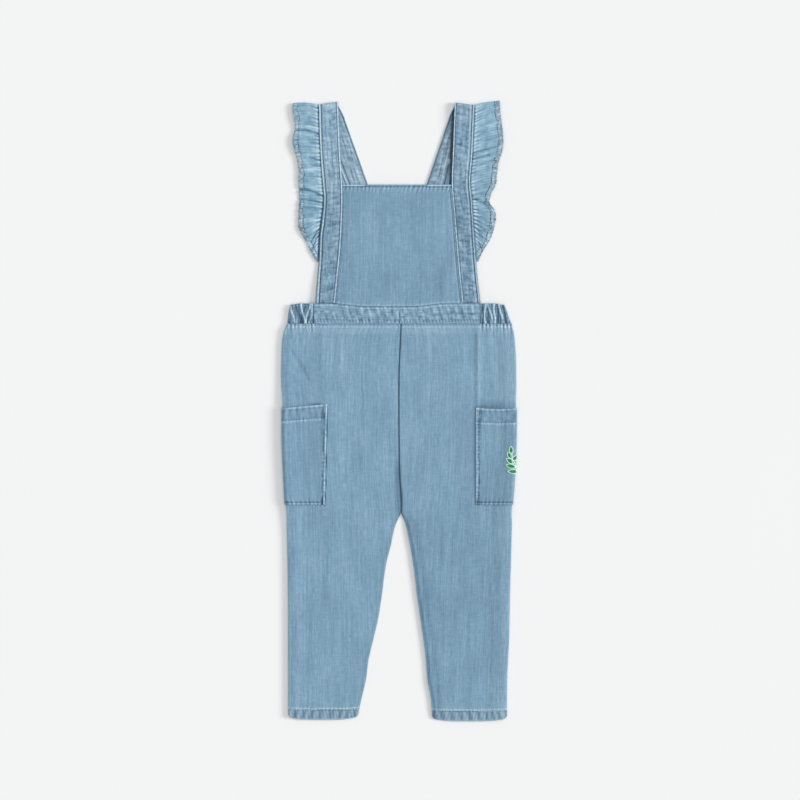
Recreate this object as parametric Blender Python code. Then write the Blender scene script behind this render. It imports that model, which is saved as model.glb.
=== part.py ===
"""Kids dungarees in washed denim, laid flat with the front up.

The garment lies on z = 0, its hems towards -Y and its shoulders towards +Y, and x = 0 near the centre
seam.  Each piece is a wall of cloth: the points of its middle surface are worked out from the sizes and
the short tables below, and a Solidify modifier gives the wall its thickness.

All sizes are in millimetres.  A height is measured up the garment from the hems, and a reach is measured
outwards from the middle, so that both sides of the garment share the same functions.
"""

import math
from collections import namedtuple

import bmesh
import bpy
import numpy as np

MM = 0.001

# ---------------------------------------------------------------- driving sizes
LENGTH = 743.0          # hems to shoulder folds
OVERALL = 744.6         # hems to the top corner of the right ruffle
SEAM_GAP = 0.3          # between two pieces at a seam
CLOTH = 1.2             # wall of one layer of denim
BAND = 2.0              # wall of the flat, doubled waistband
ELASTIC_BAND = 1.6      # wall of the gathered waistband ends
STRAP = 1.6             # wall of the doubled straps

WAIST_SEAM = 477.0      # legs to waistband
WAIST_TOP = 500.9       # waistband to bib
WAIST_DIP = 3.7         # the bib seam sags this much near the middle
WAIST_DIP_AT = -12.0    # where it hangs lowest
WAIST_DIP_HALF = 28.0   # half the width of the lowest part
WAIST_DIP_RUN = 45.0    # the seam climbs back over this much
BIB_TOP = 643.4
CROTCH = 251.0

# legs: the front panel rolls round the side and meets the back panel underneath
FOLD_RADIUS = 2.2       # middle of the wall round the side fold
FOLD_RUN = 22.0         # the front settles down to the back over this much
SIDE_LIP = 8.0          # the front panel reaches this far under the fold
CROWN = 0.8             # the front stands this much off the back in mid leg
FOLD_STEPS = (FOLD_RUN, 15.0, 9.0, 4.0)     # columns of the front wall beside the fold
QUARTER = FOLD_RADIUS * math.pi / 2         # length of the wall from the fold's top to its outermost
LAYER_STEP = CLOTH + SEAM_GAP
HEM_DEPTH = 14.0
HEM_LIFT = 0.4          # the turned-up hem is a little thicker
HEM_CORNER = 2.6        # the hem's corners are drawn up this much
HEM_ROUND = 5.0         # radius that rounds them off
HEM_RISE_RUN = 120.0    # a leg that lies a little higher than the other does so up to here
WAIST_LIFT = 1.8        # the legs rise to the waistband by this much
WAIST_RUN = 45.0

# pockets: patches over the side folds, from front to back
POCKET_BOTTOM = 259.6
POCKET_RUN = 24.0       # the back panel comes down to the floor over this much round a pocket
POCKET_MARGIN = 4.0
MOUTH_GAPE = 1.4        # the pocket mouth stands off the leg
MOUTH_RUN = 16.0

# waistband ends: gathered on elastic
PLEAT_PITCH = 6.4
PLEAT_HEIGHT = 0.8
BAND_FRONT_Z = 4.1      # middle of the wall of the waistband's front
BAND_RADIUS = (BAND_FRONT_Z - ELASTIC_BAND / 2) / 2
END_TOP_RUN = 8.0       # an end's upper edge drops to its corner over this much

# straps: one long strip each, folded over the shoulder
STRAP_FLOOR_Z = STRAP / 2
SHOULDER_RADIUS = 2.6
BACK_FLARE_RUN = 95.0   # a strap's back run widens down to here below the shoulder
BACK_SPREAD = 1.8       # it is this much wider measured level, as it slants
BACK_SPREAD_RUN = 14.0
CROSSING_LIFT = STRAP + SEAM_GAP
CROSSING_TOP = 566.0    # the upper strap starts to climb here
CROSSING_LOW = 542.0    # and lies on the other from here down

# ruffles: gathered strips in the outer edge of the straps
RUFFLE_FOOT = 551.0
RUFFLE_BACK_LENGTH = 70.0
RUFFLE_BACK_WIDTH = 27.0
GATHER_PITCH = 7.6
GATHER_HEIGHT = 0.75
RUFFLE_LOFT = 1.4       # the hem's waves stand about this much off what lies below
RUFFLE_COLUMNS = 100

DENIM = (0.24, 0.37, 0.47)
DENIM_DARK = (0.20, 0.32, 0.42)
DENIM_PALE = (0.30, 0.43, 0.53)

# ---------------------------------------------------------------- short tables
LegRow = namedtuple("LegRow", "height outer inner")
Crease = namedtuple("Crease", "low_height low_reach top_height top_reach lift half_width")
PocketSize = namedtuple("PocketSize", "top inner low_inner slant")
BandRow = namedtuple("BandRow", "height outer")
StrapRow = namedtuple("StrapRow", "height inner outer")
HeightZ = namedtuple("HeightZ", "height z")
RuffleRow = namedtuple("RuffleRow", "height width")
Lobe = namedtuple("Lobe", "height half_width rise")
Side = namedtuple("Side", "name sign leg hem_rise creases pocket band_start band strap back_end "
                          "back_flare lifted shoulder_inner shoulder_outer "
                          "ruffle ruffle_tilt ruffle_arch lobes")

LEFT = Side(
    name="left", sign=-1,
    leg=[
        LegRow(0, 133.2, 49.6), LegRow(25, 133.2, 45.0), LegRow(49, 133.2, 39.6), LegRow(73, 133.2, 36.5),
        LegRow(97, 133.2, 31.0), LegRow(121, 133.2, 25.4), LegRow(154, 133.4, 20.2), LegRow(175, 133.6, 17.6),
        LegRow(193, 134.0, 14.5), LegRow(211, 134.2, 9.8), LegRow(224, 134.6, 7.2), LegRow(234, 135.0, 4.6),
        LegRow(243, 135.4, 0.8), LegRow(CROTCH, 136.2, -2.3), LegRow(256, 136.8, -2.5),
        LegRow(262, 137.4, -2.6), LegRow(275, 138.4, -2.0), LegRow(289, 139.2, -0.9),
        LegRow(337, 140.8, 0.0), LegRow(378, 141.2, 0.2), LegRow(409, 141.6, 0.2), LegRow(440, 141.2, -0.8),
        LegRow(460, 139.8, -1.8), LegRow(470, 137.4, -2.2), LegRow(WAIST_SEAM, 134.0, -2.4),
    ],
    hem_rise=1.7,
    creases=[Crease(385, 88, 463, 92, 0.6, 8)],
    pocket=PocketSize(top=378.0, inner=86.8, low_inner=89.8, slant=4.8),
    band_start=102.0,
    band=[BandRow(WAIST_SEAM, 134.0), BandRow(485, 133.2), BandRow(491, 132.6), BandRow(499.4, 130.0)],
    strap=[
        StrapRow(WAIST_TOP, 77.3, 100.2), StrapRow(529, 74.3, 98.0), StrapRow(553, 71.9, 96.0),
        StrapRow(583, 69.5, 94.7), StrapRow(606, 68.6, 91.9), StrapRow(630, 68.1, 90.2),
        StrapRow(BIB_TOP, 68.5, 91.1), StrapRow(680, 70.9, 93.7), StrapRow(LENGTH, 73.4, 96.2),
    ],
    back_end=0.6, back_flare=4.0, lifted=False, shoulder_inner=743.0, shoulder_outer=739.8,
    ruffle=[
        RuffleRow(551, 2.0), RuffleRow(560, 7.9), RuffleRow(571, 13.7), RuffleRow(582, 19.7),
        RuffleRow(592, 26.1), RuffleRow(607, 28.1), RuffleRow(643, 28.8), RuffleRow(667, 27.4),
        RuffleRow(678, 29.1), RuffleRow(693, 32.6), RuffleRow(711, 29.1), RuffleRow(735, 31.2),
        RuffleRow(LENGTH, 29.4),
    ],
    ruffle_tilt=5.0, ruffle_arch=2.0,
    lobes=[
        Lobe(574, 12, -0.7), Lobe(588, 14, 0.6), Lobe(613, 18, 0.6), Lobe(630, 10, -0.8), Lobe(646, 20, 0.7),
        Lobe(663, 10, -0.6), Lobe(676, 12, -0.7), Lobe(692, 20, 0.8), Lobe(708, 10, -0.9), Lobe(726, 20, 0.7),
    ],
)

RIGHT = Side(
    name="right", sign=1,
    leg=[
        LegRow(0, 129.6, 39.4), LegRow(25, 129.6, 38.4), LegRow(49, 129.8, 34.2), LegRow(73, 130.8, 32.4),
        LegRow(97, 132.0, 29.4), LegRow(121, 132.6, 26.0), LegRow(154, 133.2, 21.2), LegRow(169, 133.6, 19.6),
        LegRow(185, 134.2, 17.5), LegRow(201, 134.6, 15.0), LegRow(217, 135.0, 12.0), LegRow(230, 135.4, 9.4),
        LegRow(241, 135.8, 6.2), LegRow(CROTCH, 136.4, 2.4), LegRow(256, 136.8, 2.5),
        LegRow(262, 137.2, 2.6), LegRow(275, 138.4, 2.0), LegRow(289, 139.4, 0.9),
        LegRow(337, 141.4, 0.0), LegRow(378, 141.6, -0.2), LegRow(409, 140.8, -0.2), LegRow(440, 140.2, 0.8),
        LegRow(460, 138.6, 1.8), LegRow(470, 137.2, 2.2), LegRow(WAIST_SEAM, 135.2, 2.4),
    ],
    hem_rise=0.0,
    creases=[Crease(380, 94, 476, 97, 1.0, 9)],
    pocket=PocketSize(top=376.0, inner=90.6, low_inner=91.4, slant=0.6),
    band_start=97.2,
    band=[BandRow(WAIST_SEAM, 134.8), BandRow(484, 132.0), BandRow(491, 129.8), BandRow(499.4, 126.4)],
    strap=[
        StrapRow(WAIST_TOP, 76.2, 97.6), StrapRow(529, 73.1, 94.4), StrapRow(553, 70.7, 92.2),
        StrapRow(583, 68.3, 90.1), StrapRow(613, 65.9, 88.4), StrapRow(625, 64.7, 87.6),
        StrapRow(BIB_TOP, 63.5, 85.4), StrapRow(680, 64.7, 87.6), StrapRow(LENGTH, 67.2, 90.3),
    ],
    back_end=-1.4, back_flare=4.5, lifted=True, shoulder_inner=742.2, shoulder_outer=739.2,
    ruffle=[
        RuffleRow(551, 2.0), RuffleRow(563, 8.1), RuffleRow(577, 17.6), RuffleRow(594, 24.6),
        RuffleRow(606, 26.5), RuffleRow(615, 25.0), RuffleRow(621, 20.5), RuffleRow(630, 22.2),
        RuffleRow(643, 29.8), RuffleRow(661, 31.4), RuffleRow(673, 32.7), RuffleRow(683, 35.5),
        RuffleRow(709, 34.6), RuffleRow(724, 31.9), RuffleRow(LENGTH, 30.8),
    ],
    ruffle_tilt=12.0, ruffle_arch=0.8,
    lobes=[
        Lobe(572, 12, 0.6), Lobe(584, 10, -0.7), Lobe(602, 18, 0.8), Lobe(622, 12, -1.0), Lobe(640, 18, 0.6),
        Lobe(654, 8, -0.7), Lobe(666, 14, 0.6), Lobe(677, 8, -0.8), Lobe(695, 22, 0.8), Lobe(712, 8, -0.6),
        Lobe(728, 18, 0.7),
    ],
)

BIB_HEIGHTS = [WAIST_TOP, 514.0, 528.0, 546.0, 564.0, 581.0, 598.0, 616.0, BIB_TOP]
BIB_Z = [HeightZ(WAIST_TOP, 4.4), HeightZ(545, 4.4), HeightZ(590, 3.1), HeightZ(BIB_TOP, 3.5)]
STRAP_INNER_Z = BIB_Z + [HeightZ(690, 5.0), HeightZ(LENGTH, 6.0)]
STRAP_OUTER_Z = [
    HeightZ(WAIST_TOP, 4.1), HeightZ(522, 3.1), HeightZ(548, 2.0), HeightZ(580, 1.5), HeightZ(640, 1.5),
    HeightZ(672, 3.2), HeightZ(700, 4.2), HeightZ(LENGTH, 6.0),
]


# ---------------------------------------------------------------- curves
def ease(t):
    """0 to 1 along a smooth S, for t from 0 to 1."""
    t = np.clip(t, 0.0, 1.0)
    return t * t * (3.0 - 2.0 * t)


def window(value, low, high, run):
    """1 between low and high, easing to 0 over run outside them."""
    return ease((value - low + run) / run) * ease((high - value + run) / run)


def follow(rows, column, height):
    """One column of a table, on a smooth curve through its rows."""
    xs = np.array([row.height for row in rows], float)
    ys = np.array([getattr(row, column) for row in rows], float)
    slopes = np.gradient(ys, xs)
    height = np.clip(height, xs[0], xs[-1])
    k = np.clip(np.searchsorted(xs, height, side="right") - 1, 0, len(xs) - 2)
    span = xs[k + 1] - xs[k]
    t = (height - xs[k]) / span
    blend = t * t * (3 - 2 * t)
    bend = span * (t * (1 - t) ** 2 * slopes[k] - t * t * (1 - t) * slopes[k + 1])
    return ys[k] * (1 - blend) + ys[k + 1] * blend + bend


def mix(a, b, t):
    """a to b by the share t."""
    return a + (b - a) * t


# ---------------------------------------------------------------- meshes
def denim(colour):
    """The plain denim material of one shade."""
    material = bpy.data.materials.new("denim")
    material.use_nodes = True
    shader = material.node_tree.nodes["Principled BSDF"]
    shader.inputs["Base Color"].default_value = (*colour, 1.0)
    shader.inputs["Roughness"].default_value = 0.85
    return material


def cloth(name, x, height, z, wall, colour):
    """A wall of cloth round a grid of middle points, given as three grids of the same shape."""
    x, height, z = np.broadcast_arrays(x, height, z)
    rows, columns = x.shape
    mesh = bpy.data.meshes.new(name)
    sheet = bmesh.new()
    grid = [
        [
            sheet.verts.new((x[i, j] * MM, (height[i, j] - OVERALL / 2) * MM, z[i, j] * MM))
            for j in range(columns)
        ]
        for i in range(rows)
    ]
    for i in range(rows - 1):
        for j in range(columns - 1):
            sheet.faces.new((grid[i][j], grid[i][j + 1], grid[i + 1][j + 1], grid[i + 1][j]))
    bmesh.ops.recalc_face_normals(sheet, faces=sheet.faces)
    sheet.to_mesh(mesh)
    sheet.free()
    mesh.materials.append(denim(colour))
    mesh.shade_smooth()
    piece = bpy.data.objects.new(name, mesh)
    bpy.context.collection.objects.link(piece)
    thickness = piece.modifiers.new("wall", "SOLIDIFY")
    thickness.thickness = wall * MM
    thickness.offset = 0.0
    thickness.use_even_offset = True
    return piece


def clear_scene():
    """Remove whatever the file opened with."""
    for old in list(bpy.data.objects):
        bpy.data.objects.remove(old, do_unlink=True)


# ---------------------------------------------------------------- legs and pockets
def pocket_cover(side, height, reach):
    """1 where the leg lies over a pocket's under layer, easing to 0 round it."""
    along = window(height, POCKET_BOTTOM - POCKET_MARGIN, side.pocket.top + POCKET_MARGIN, POCKET_RUN)
    across = ease((reach - side.pocket.inner + POCKET_MARGIN + POCKET_RUN) / POCKET_RUN)
    return along * across


def fold_reach(side, height):
    """Where the round of the side fold starts; a pocket's wall outside it keeps the outline."""
    outline = follow(side.leg, "outer", height)
    inset = LAYER_STEP * pocket_cover(side, height, side.leg[0].outer) + hem_inset(height)
    return outline - inset - CLOTH / 2 - FOLD_RADIUS


def crease_lift(side, height, reach):
    """Height of the soft creases on the front of a leg."""
    lift = np.zeros(np.broadcast(height, reach).shape)
    for crease in side.creases:
        share = (height - crease.low_height) / (crease.top_height - crease.low_height)
        middle = mix(crease.low_reach, crease.top_reach, share)
        ridge = 1.0 - ease(np.abs(reach - middle) / crease.half_width)
        lift = lift + crease.lift * ridge * window(share, 0.1, 0.9, 0.25)
    return lift


def front_z(side, height, reach):
    """Middle of the front layer of a leg, over the back layer."""
    inner = follow(side.leg, "inner", height)
    fold = fold_reach(side, height)
    share = np.clip((reach - inner) / (fold - inner), 0.0, 1.0)
    lying = CLOTH / 2 + LAYER_STEP + CROWN * np.sin(math.pi * share)
    lying = lying + WAIST_LIFT * ease((height - WAIST_SEAM + WAIST_RUN) / WAIST_RUN)
    lying = lying + HEM_LIFT * ease((HEM_DEPTH + 2 - height) / 2)
    rolled = CLOTH / 2 + 2 * FOLD_RADIUS
    near_fold = 1.0 - ease((fold - reach) / FOLD_RUN)
    settled = mix(lying, rolled, near_fold)
    return settled + crease_lift(side, height, reach) + LAYER_STEP * pocket_cover(side, height, reach)


def leg_point(side, height, along):
    """Reach and z of a leg's middle surface; along is 0 at the fold, plus in front, minus behind."""
    fold = fold_reach(side, height)
    run = np.maximum(np.abs(along) - QUARTER, 0.0)
    angle = np.clip(along / FOLD_RADIUS, -math.pi / 2, math.pi / 2)
    reach = fold - run + FOLD_RADIUS * np.cos(angle)
    cover = LAYER_STEP * pocket_cover(side, height, np.minimum(reach, fold))
    round_z = CLOTH / 2 + FOLD_RADIUS * (1 + np.sin(angle)) + cover
    z = np.where(along > QUARTER, front_z(side, height, reach), round_z)
    return reach, z


def leg_surface(side, height, along, out=0.0):
    """Points of a leg's surface, moved out by a distance square to the section."""
    step = 0.05
    reach, z = leg_point(side, height, along)
    reach_up, z_up = leg_point(side, height, along + step)
    reach_down, z_down = leg_point(side, height, along - step)
    run, rise = reach_up - reach_down, z_up - z_down
    length = np.hypot(run, rise)
    return side.sign * (reach + out * rise / length), z - out * run / length


def fold_columns(front, back, front_parts):
    """Places along a leg's section, front edge to fold to the places behind; a row for each front."""
    front = np.atleast_1d(front)[:, None]
    near = QUARTER + np.array(FOLD_STEPS)
    far = mix(front, near[0], np.linspace(0.0, 1.0, front_parts + 1)[:-1])
    round_part = np.linspace(QUARTER, -QUARTER, 7)
    same = np.concatenate([near, round_part, -np.array(back)])
    return np.concatenate([far, np.broadcast_to(same, (len(front), len(same)))], axis=1)


def leg_heights(side):
    """Heights of the rows of a leg panel, hem to waist seam."""
    rows = [0.0, 1.0, 2.6, HEM_ROUND, HEM_DEPTH, HEM_DEPTH + 2, 45.0, 80.0, 115.0, 150.0, 180.0]
    rows += [201.0, 217.0, 230.0, 241.0, CROTCH]
    rows += [POCKET_BOTTOM - POCKET_MARGIN, 275.0, 290.0, 320.0, 350.0, side.pocket.top + POCKET_MARGIN]
    rows += [393.0, 407.0, 425.0, 443.0, 457.0, 468.0, WAIST_SEAM - SEAM_GAP]
    return np.array(rows)


def hem_inset(height):
    """How far the hem's two corners come in, to round them off."""
    below = np.clip(1 - height / HEM_ROUND, 0.0, 1.0)
    return HEM_ROUND * (1 - np.sqrt(1 - below ** 2))


def draw_up_hem(side, height, share):
    """Heights with the hem's two corners drawn up; share runs from 0 to 1 across the hem."""
    lift = HEM_CORNER * np.abs(2 * share - 1) ** 4
    drawn = height + lift * (1 - ease(height / (2 * HEM_DEPTH)))
    return drawn + side.hem_rise * (1 - ease(height / HEM_RISE_RUN))


def front_leg(side):
    """Front leg panel: centre or inside seam, over the front, round the fold, to the side seam below."""
    heights = leg_heights(side)
    inner = follow(side.leg, "inner", heights) + SEAM_GAP / 2 + hem_inset(heights)
    front = fold_reach(side, heights) - inner + QUARTER
    along = fold_columns(front, [QUARTER + SIDE_LIP], front_parts=7)
    share = np.clip(1 - along / along[:, :1], 0.0, 1.0)
    height = draw_up_hem(side, heights[:, None], share)
    x, z = leg_surface(side, heights[:, None], along)
    return cloth(f"front_leg_{side.name}", x, height, z, CLOTH, DENIM)


def back_leg(side):
    """Back leg panel: flat on the floor, raised a layer where a pocket lies under it."""
    heights = leg_heights(side)
    inner = follow(side.leg, "inner", heights) + SEAM_GAP / 2 + hem_inset(heights)
    outer = fold_reach(side, heights) - SIDE_LIP - SEAM_GAP
    edge = side.pocket.inner - POCKET_MARGIN
    places = [mix(inner, edge - POCKET_RUN, t) for t in (0.0, 0.35, 0.7)]
    places += [mix(edge - POCKET_RUN, edge, t) for t in (0.0, 0.25, 0.5, 0.75, 1.0)]
    places += [mix(edge, outer, t) for t in (0.5, 1.0)]
    reach = np.stack([place * np.ones_like(heights) for place in places], axis=1)
    cover = pocket_cover(side, heights[:, None], reach)
    share = (reach - inner[:, None]) / (outer - inner)[:, None]
    height = draw_up_hem(side, heights[:, None], share)
    return cloth(f"back_leg_{side.name}", side.sign * reach, height, CLOTH / 2 + LAYER_STEP * cover,
                 CLOTH, DENIM_DARK)


def pocket(side):
    """Patch pocket: made from the leg's points, moved out, from its front edge round to its back edge."""
    size = side.pocket
    heights = np.concatenate([np.linspace(POCKET_BOTTOM, size.top - MOUTH_RUN, 5),
                              size.top - MOUTH_RUN * np.array([0.5, 0.0])])
    up = (heights - POCKET_BOTTOM) / (size.top - POCKET_BOTTOM)
    width = fold_reach(side, heights) - mix(size.low_inner, size.inner, up) + QUARTER
    along = fold_columns(width, [QUARTER + 12.0], front_parts=4)
    along = np.concatenate([along, -width[:, None]], axis=1)
    front = np.clip(along / width[:, None], 0.0, 1.0)
    mouth = ease((heights[:, None] - size.top + MOUTH_RUN) / MOUTH_RUN)
    gape = MOUTH_GAPE * mouth * np.sin(math.pi * front)
    height = heights[:, None] + size.slant * (front - 0.5) * up[:, None]
    x, z = leg_surface(side, height, along, LAYER_STEP + gape)
    return cloth(f"pocket_{side.name}", x, height, z, CLOTH, DENIM_PALE)


# ---------------------------------------------------------------- waistband
def waist_top(x):
    """Height of the waistband's upper edge: it sags a little near the middle of the front."""
    away = np.abs(x - WAIST_DIP_AT) - WAIST_DIP_HALF
    return WAIST_TOP - WAIST_DIP * (1 - ease(away / WAIST_DIP_RUN))


def waistband_front():
    """The flat middle of the waistband."""
    x = np.linspace(-LEFT.band_start + SEAM_GAP / 2, RIGHT.band_start - SEAM_GAP / 2, 17)[None, :]
    share = np.linspace(0.0, 1.0, 4)[:, None]
    height = mix(WAIST_SEAM, waist_top(x), share)
    return cloth("waistband_front", x, height, BAND_FRONT_Z, BAND, DENIM_DARK)


def waistband_side(side):
    """An elastic end of the waistband, gathered over the front and round the fold, plain underneath."""
    share = np.array([0.0, 0.3, 0.6, 0.85, 1.0])[:, None]
    heights = mix(WAIST_SEAM, side.band[-1].height, share)
    fold = follow(side.band, "outer", heights) - ELASTIC_BAND / 2 - BAND_RADIUS
    run = side.band[0].outer - ELASTIC_BAND / 2 - BAND_RADIUS - side.band_start
    pleat_count = round(run / PLEAT_PITCH)
    front = np.linspace(1.0, 0.0, 4 * pleat_count + 1)
    arc = np.linspace(math.pi / 2, -math.pi / 2, 6)[1:]
    under = np.array([0.4, 1.0])
    start = side.band_start + SEAM_GAP / 2
    width = fold - start
    pleat = PLEAT_HEIGHT * np.sin(2 * math.pi * pleat_count * front) * window(front, 0.13, 0.87, 0.13)
    reach = np.concatenate([
        fold - width * front,
        fold + BAND_RADIUS * np.cos(arc),
        fold - width * under,
    ], axis=1)
    back_z = BAND_FRONT_Z - 2 * BAND_RADIUS
    z = np.concatenate([
        BAND_FRONT_Z + pleat,
        back_z + BAND_RADIUS * (1 + np.sin(arc)),
        np.full(len(under), back_z),
    ])[None, :]
    from_fold = np.concatenate([front, np.zeros(len(arc)), under])[None, :]
    top = mix(side.band[-1].height, WAIST_TOP, ease(from_fold * width / END_TOP_RUN))
    height = mix(WAIST_SEAM, top, share)
    return cloth(f"waistband_side_{side.name}", side.sign * reach, height, z, ELASTIC_BAND, DENIM_DARK)


def waistband_back():
    """The back of the waistband, flat on the floor between the gathered ends."""
    x = np.linspace(-LEFT.band_start + SEAM_GAP / 2, RIGHT.band_start - SEAM_GAP / 2, 9)[None, :]
    height = np.array([WAIST_SEAM, WAIST_TOP])[:, None]
    return cloth("waistband_back", x, height, BAND / 2, BAND, DENIM_DARK)


# ---------------------------------------------------------------- bib
def bib():
    """The front bib, between the straps, from the waistband to its hemmed top."""
    across = np.linspace(0.0, 1.0, 15)[None, :]
    edge_heights = np.array(BIB_HEIGHTS)[:, None]
    left = -follow(LEFT.strap, "inner", edge_heights) + SEAM_GAP
    right = follow(RIGHT.strap, "inner", edge_heights) - SEAM_GAP
    x = mix(left, right, across)
    height = edge_heights + bib_sag(x, edge_heights)
    return cloth("bib", x, height, follow(BIB_Z, "z", edge_heights), CLOTH, DENIM)


def bib_sag(x, height):
    """How far the bib and the feet of the straps follow the waistband's sagging upper edge."""
    return (waist_top(x) - WAIST_TOP + SEAM_GAP) * (height == WAIST_TOP)


# ---------------------------------------------------------------- straps
def shoulder_axis(side, across):
    """Height of the axis that a strap folds round, across its width."""
    return mix(side.shoulder_inner, side.shoulder_outer, across) - SHOULDER_RADIUS - STRAP / 2


def strap_heights(side, across):
    """Heights of the rows of a strap's front run, waistband to shoulder."""
    beside = np.array(BIB_HEIGHTS)[:, None] * np.ones_like(across)
    above = mix(BIB_TOP, shoulder_axis(side, across), np.linspace(0.0, 1.0, 8)[1:, None])
    return np.concatenate([beside, above])


def strap_edge(side, height):
    """Reach of a strap's outer edge, straight from row to row as its wall is."""
    rows = strap_heights(side, np.ones(1))[:, 0]
    return np.interp(height, rows, follow(side.strap, "outer", rows))


def back_slant(side):
    """How far a strap's back run comes inwards for each step down."""
    top = shoulder_axis(side, 0.5)
    middle = (follow(side.strap, "inner", LENGTH) + follow(side.strap, "outer", LENGTH)) / 2
    return (middle - side.back_end) / (top - WAIST_TOP)


def back_shift(side, down):
    """How far a strap's outer edge lies outwards behind, down from the shoulder: it slants in and flares."""
    return side.back_flare * ease(down / BACK_FLARE_RUN) - back_slant(side) * down


def strap(side):
    """A strap: up beside the bib, over the shoulder fold, and down and inwards to the back waistband."""
    across = np.linspace(0.0, 1.0, 5)[None, :]
    shoulder = shoulder_axis(side, across)
    heights = strap_heights(side, across)
    front_reach = mix(follow(side.strap, "inner", heights), follow(side.strap, "outer", heights), across)
    front_height = heights + bib_sag(front_reach, heights)
    front_z_rows = mix(follow(STRAP_INNER_Z, "z", heights), follow(STRAP_OUTER_Z, "z", heights), across)

    angle = np.radians([30.0, 60.0, 90.0, 120.0, 150.0])[:, None]
    middle_z = STRAP_FLOOR_Z + SHOULDER_RADIUS
    round_height = shoulder + SHOULDER_RADIUS * np.sin(angle)
    round_reach = front_reach[-1:] * np.ones_like(angle)
    round_z = middle_z + SHOULDER_RADIUS * np.cos(angle) * np.ones_like(shoulder)

    share = np.linspace(0.0, 1.0, 15)[:, None]
    back_height = mix(shoulder, WAIST_TOP + SEAM_GAP, share)
    down = shoulder - back_height
    inner_shift = -back_slant(side) * down - BACK_SPREAD * ease(down / BACK_SPREAD_RUN)
    back_reach = front_reach[-1:] + mix(inner_shift, back_shift(side, down), across)
    back_z = np.full(back_reach.shape, STRAP_FLOOR_Z)
    if side.lifted:
        climb = ease((CROSSING_TOP - back_height) / (CROSSING_TOP - CROSSING_LOW))
        back_z = back_z + CROSSING_LIFT * climb

    reach = np.concatenate([front_reach, round_reach, back_reach])
    height = np.concatenate([front_height, round_height, back_height])
    z = np.concatenate([front_z_rows, round_z, back_z])
    return cloth(f"strap_{side.name}", side.sign * reach, height, z, STRAP, DENIM_DARK)


# ---------------------------------------------------------------- ruffles
def ruffle_front_z(side, height, width, across):
    """Middle of a ruffle's front layer: gathers at its seam, lobes at its hem, over the layer below."""
    root = follow(STRAP_OUTER_Z, "z", height)
    layer = LAYER_STEP * ease((height - 646) / 18)
    hem = CLOTH / 2 + layer + RUFFLE_LOFT
    settle = ease(across * 1.25)
    lobes = sum(lobe.rise * (1 - ease(np.abs(height - lobe.height) / lobe.half_width))
                for lobe in side.lobes)
    up = height - RUFFLE_FOOT
    uneven = 1.2 * np.sin(up / 19.0) + 0.7 * np.sin(up / 7.3 + side.sign)
    wave = 0.25 + np.sin(2 * math.pi * up / GATHER_PITCH + uneven)
    gathers = GATHER_HEIGHT * wave * ease(across * 5) * (1 - 0.75 * ease(across * 1.4 - 0.2))
    return mix(root, hem, settle) + settle * lobes + gathers * ease(width / 20)


def ruffle(side):
    """A ruffle: from its foot up the outer edge of the strap, over the shoulder, and a little way down."""
    across = np.array([0.0, 0.1, 0.22, 0.42, 0.7, 1.0])[None, :]
    top = shoulder_axis(side, 1.0)
    tilt = math.radians(side.ruffle_tilt)

    heights = np.linspace(RUFFLE_FOOT, top, RUFFLE_COLUMNS)[:, None]
    root = strap_edge(side, heights) + SEAM_GAP
    width = follow(side.ruffle, "width", heights)
    near_top = ease((heights - top + 60) / 60)
    reach = root + width * across * np.cos(tilt * near_top)
    height = heights + width * across * np.sin(tilt * near_top)
    height = height + side.ruffle_arch * np.sin(math.pi * across) * near_top
    z = ruffle_front_z(side, heights, width, across)

    angle = np.radians([30.0, 60.0, 90.0, 120.0, 150.0])[:, None]
    top_z = z[-1:]
    floor_z = mix(STRAP_FLOOR_Z, CLOTH / 2, ease(across * 2))
    radius = (top_z - floor_z) / 2
    round_reach = reach[-1:] * np.ones_like(angle)
    round_height = height[-1:] + radius * np.sin(angle)
    round_z = floor_z + radius + radius * np.cos(angle)

    share = np.linspace(0.0, 1.0, 9)[:, None]
    slant = math.atan(back_slant(side))
    run = RUFFLE_BACK_LENGTH * share
    turn = mix(-tilt, slant, ease(share * 4))
    taper = 1 - 0.7 * ease((share - 0.6) / 0.4)
    back_width = mix(width[-1], RUFFLE_BACK_WIDTH, ease(share * 3)) * taper
    back_reach = root[-1] + back_shift(side, run * math.cos(slant)) + back_width * across * np.cos(turn)
    back_height = top - run * math.cos(slant) - back_width * across * np.sin(turn)
    back_z = floor_z * np.ones_like(share)

    reach = np.concatenate([reach, round_reach, back_reach])
    height = np.concatenate([height, round_height, back_height])
    z = np.concatenate([z, round_z, back_z])
    return cloth(f"ruffle_{side.name}", side.sign * reach, height, z, CLOTH, DENIM_PALE)


def dungarees():
    """Build every piece."""
    clear_scene()
    for side in (LEFT, RIGHT):
        front_leg(side)
        back_leg(side)
        pocket(side)
        waistband_side(side)
        strap(side)
        ruffle(side)
    waistband_front()
    waistband_back()
    bib()


dungarees()
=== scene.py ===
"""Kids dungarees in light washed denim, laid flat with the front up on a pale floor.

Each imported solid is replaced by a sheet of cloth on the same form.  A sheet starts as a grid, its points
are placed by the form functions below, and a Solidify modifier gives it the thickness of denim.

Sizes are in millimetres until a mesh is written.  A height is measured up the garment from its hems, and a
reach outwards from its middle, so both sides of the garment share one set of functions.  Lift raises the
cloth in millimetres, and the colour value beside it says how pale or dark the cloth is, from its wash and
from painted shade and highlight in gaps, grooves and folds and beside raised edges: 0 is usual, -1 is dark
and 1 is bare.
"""

import logging
import math
from dataclasses import dataclass
from enum import Enum

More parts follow.
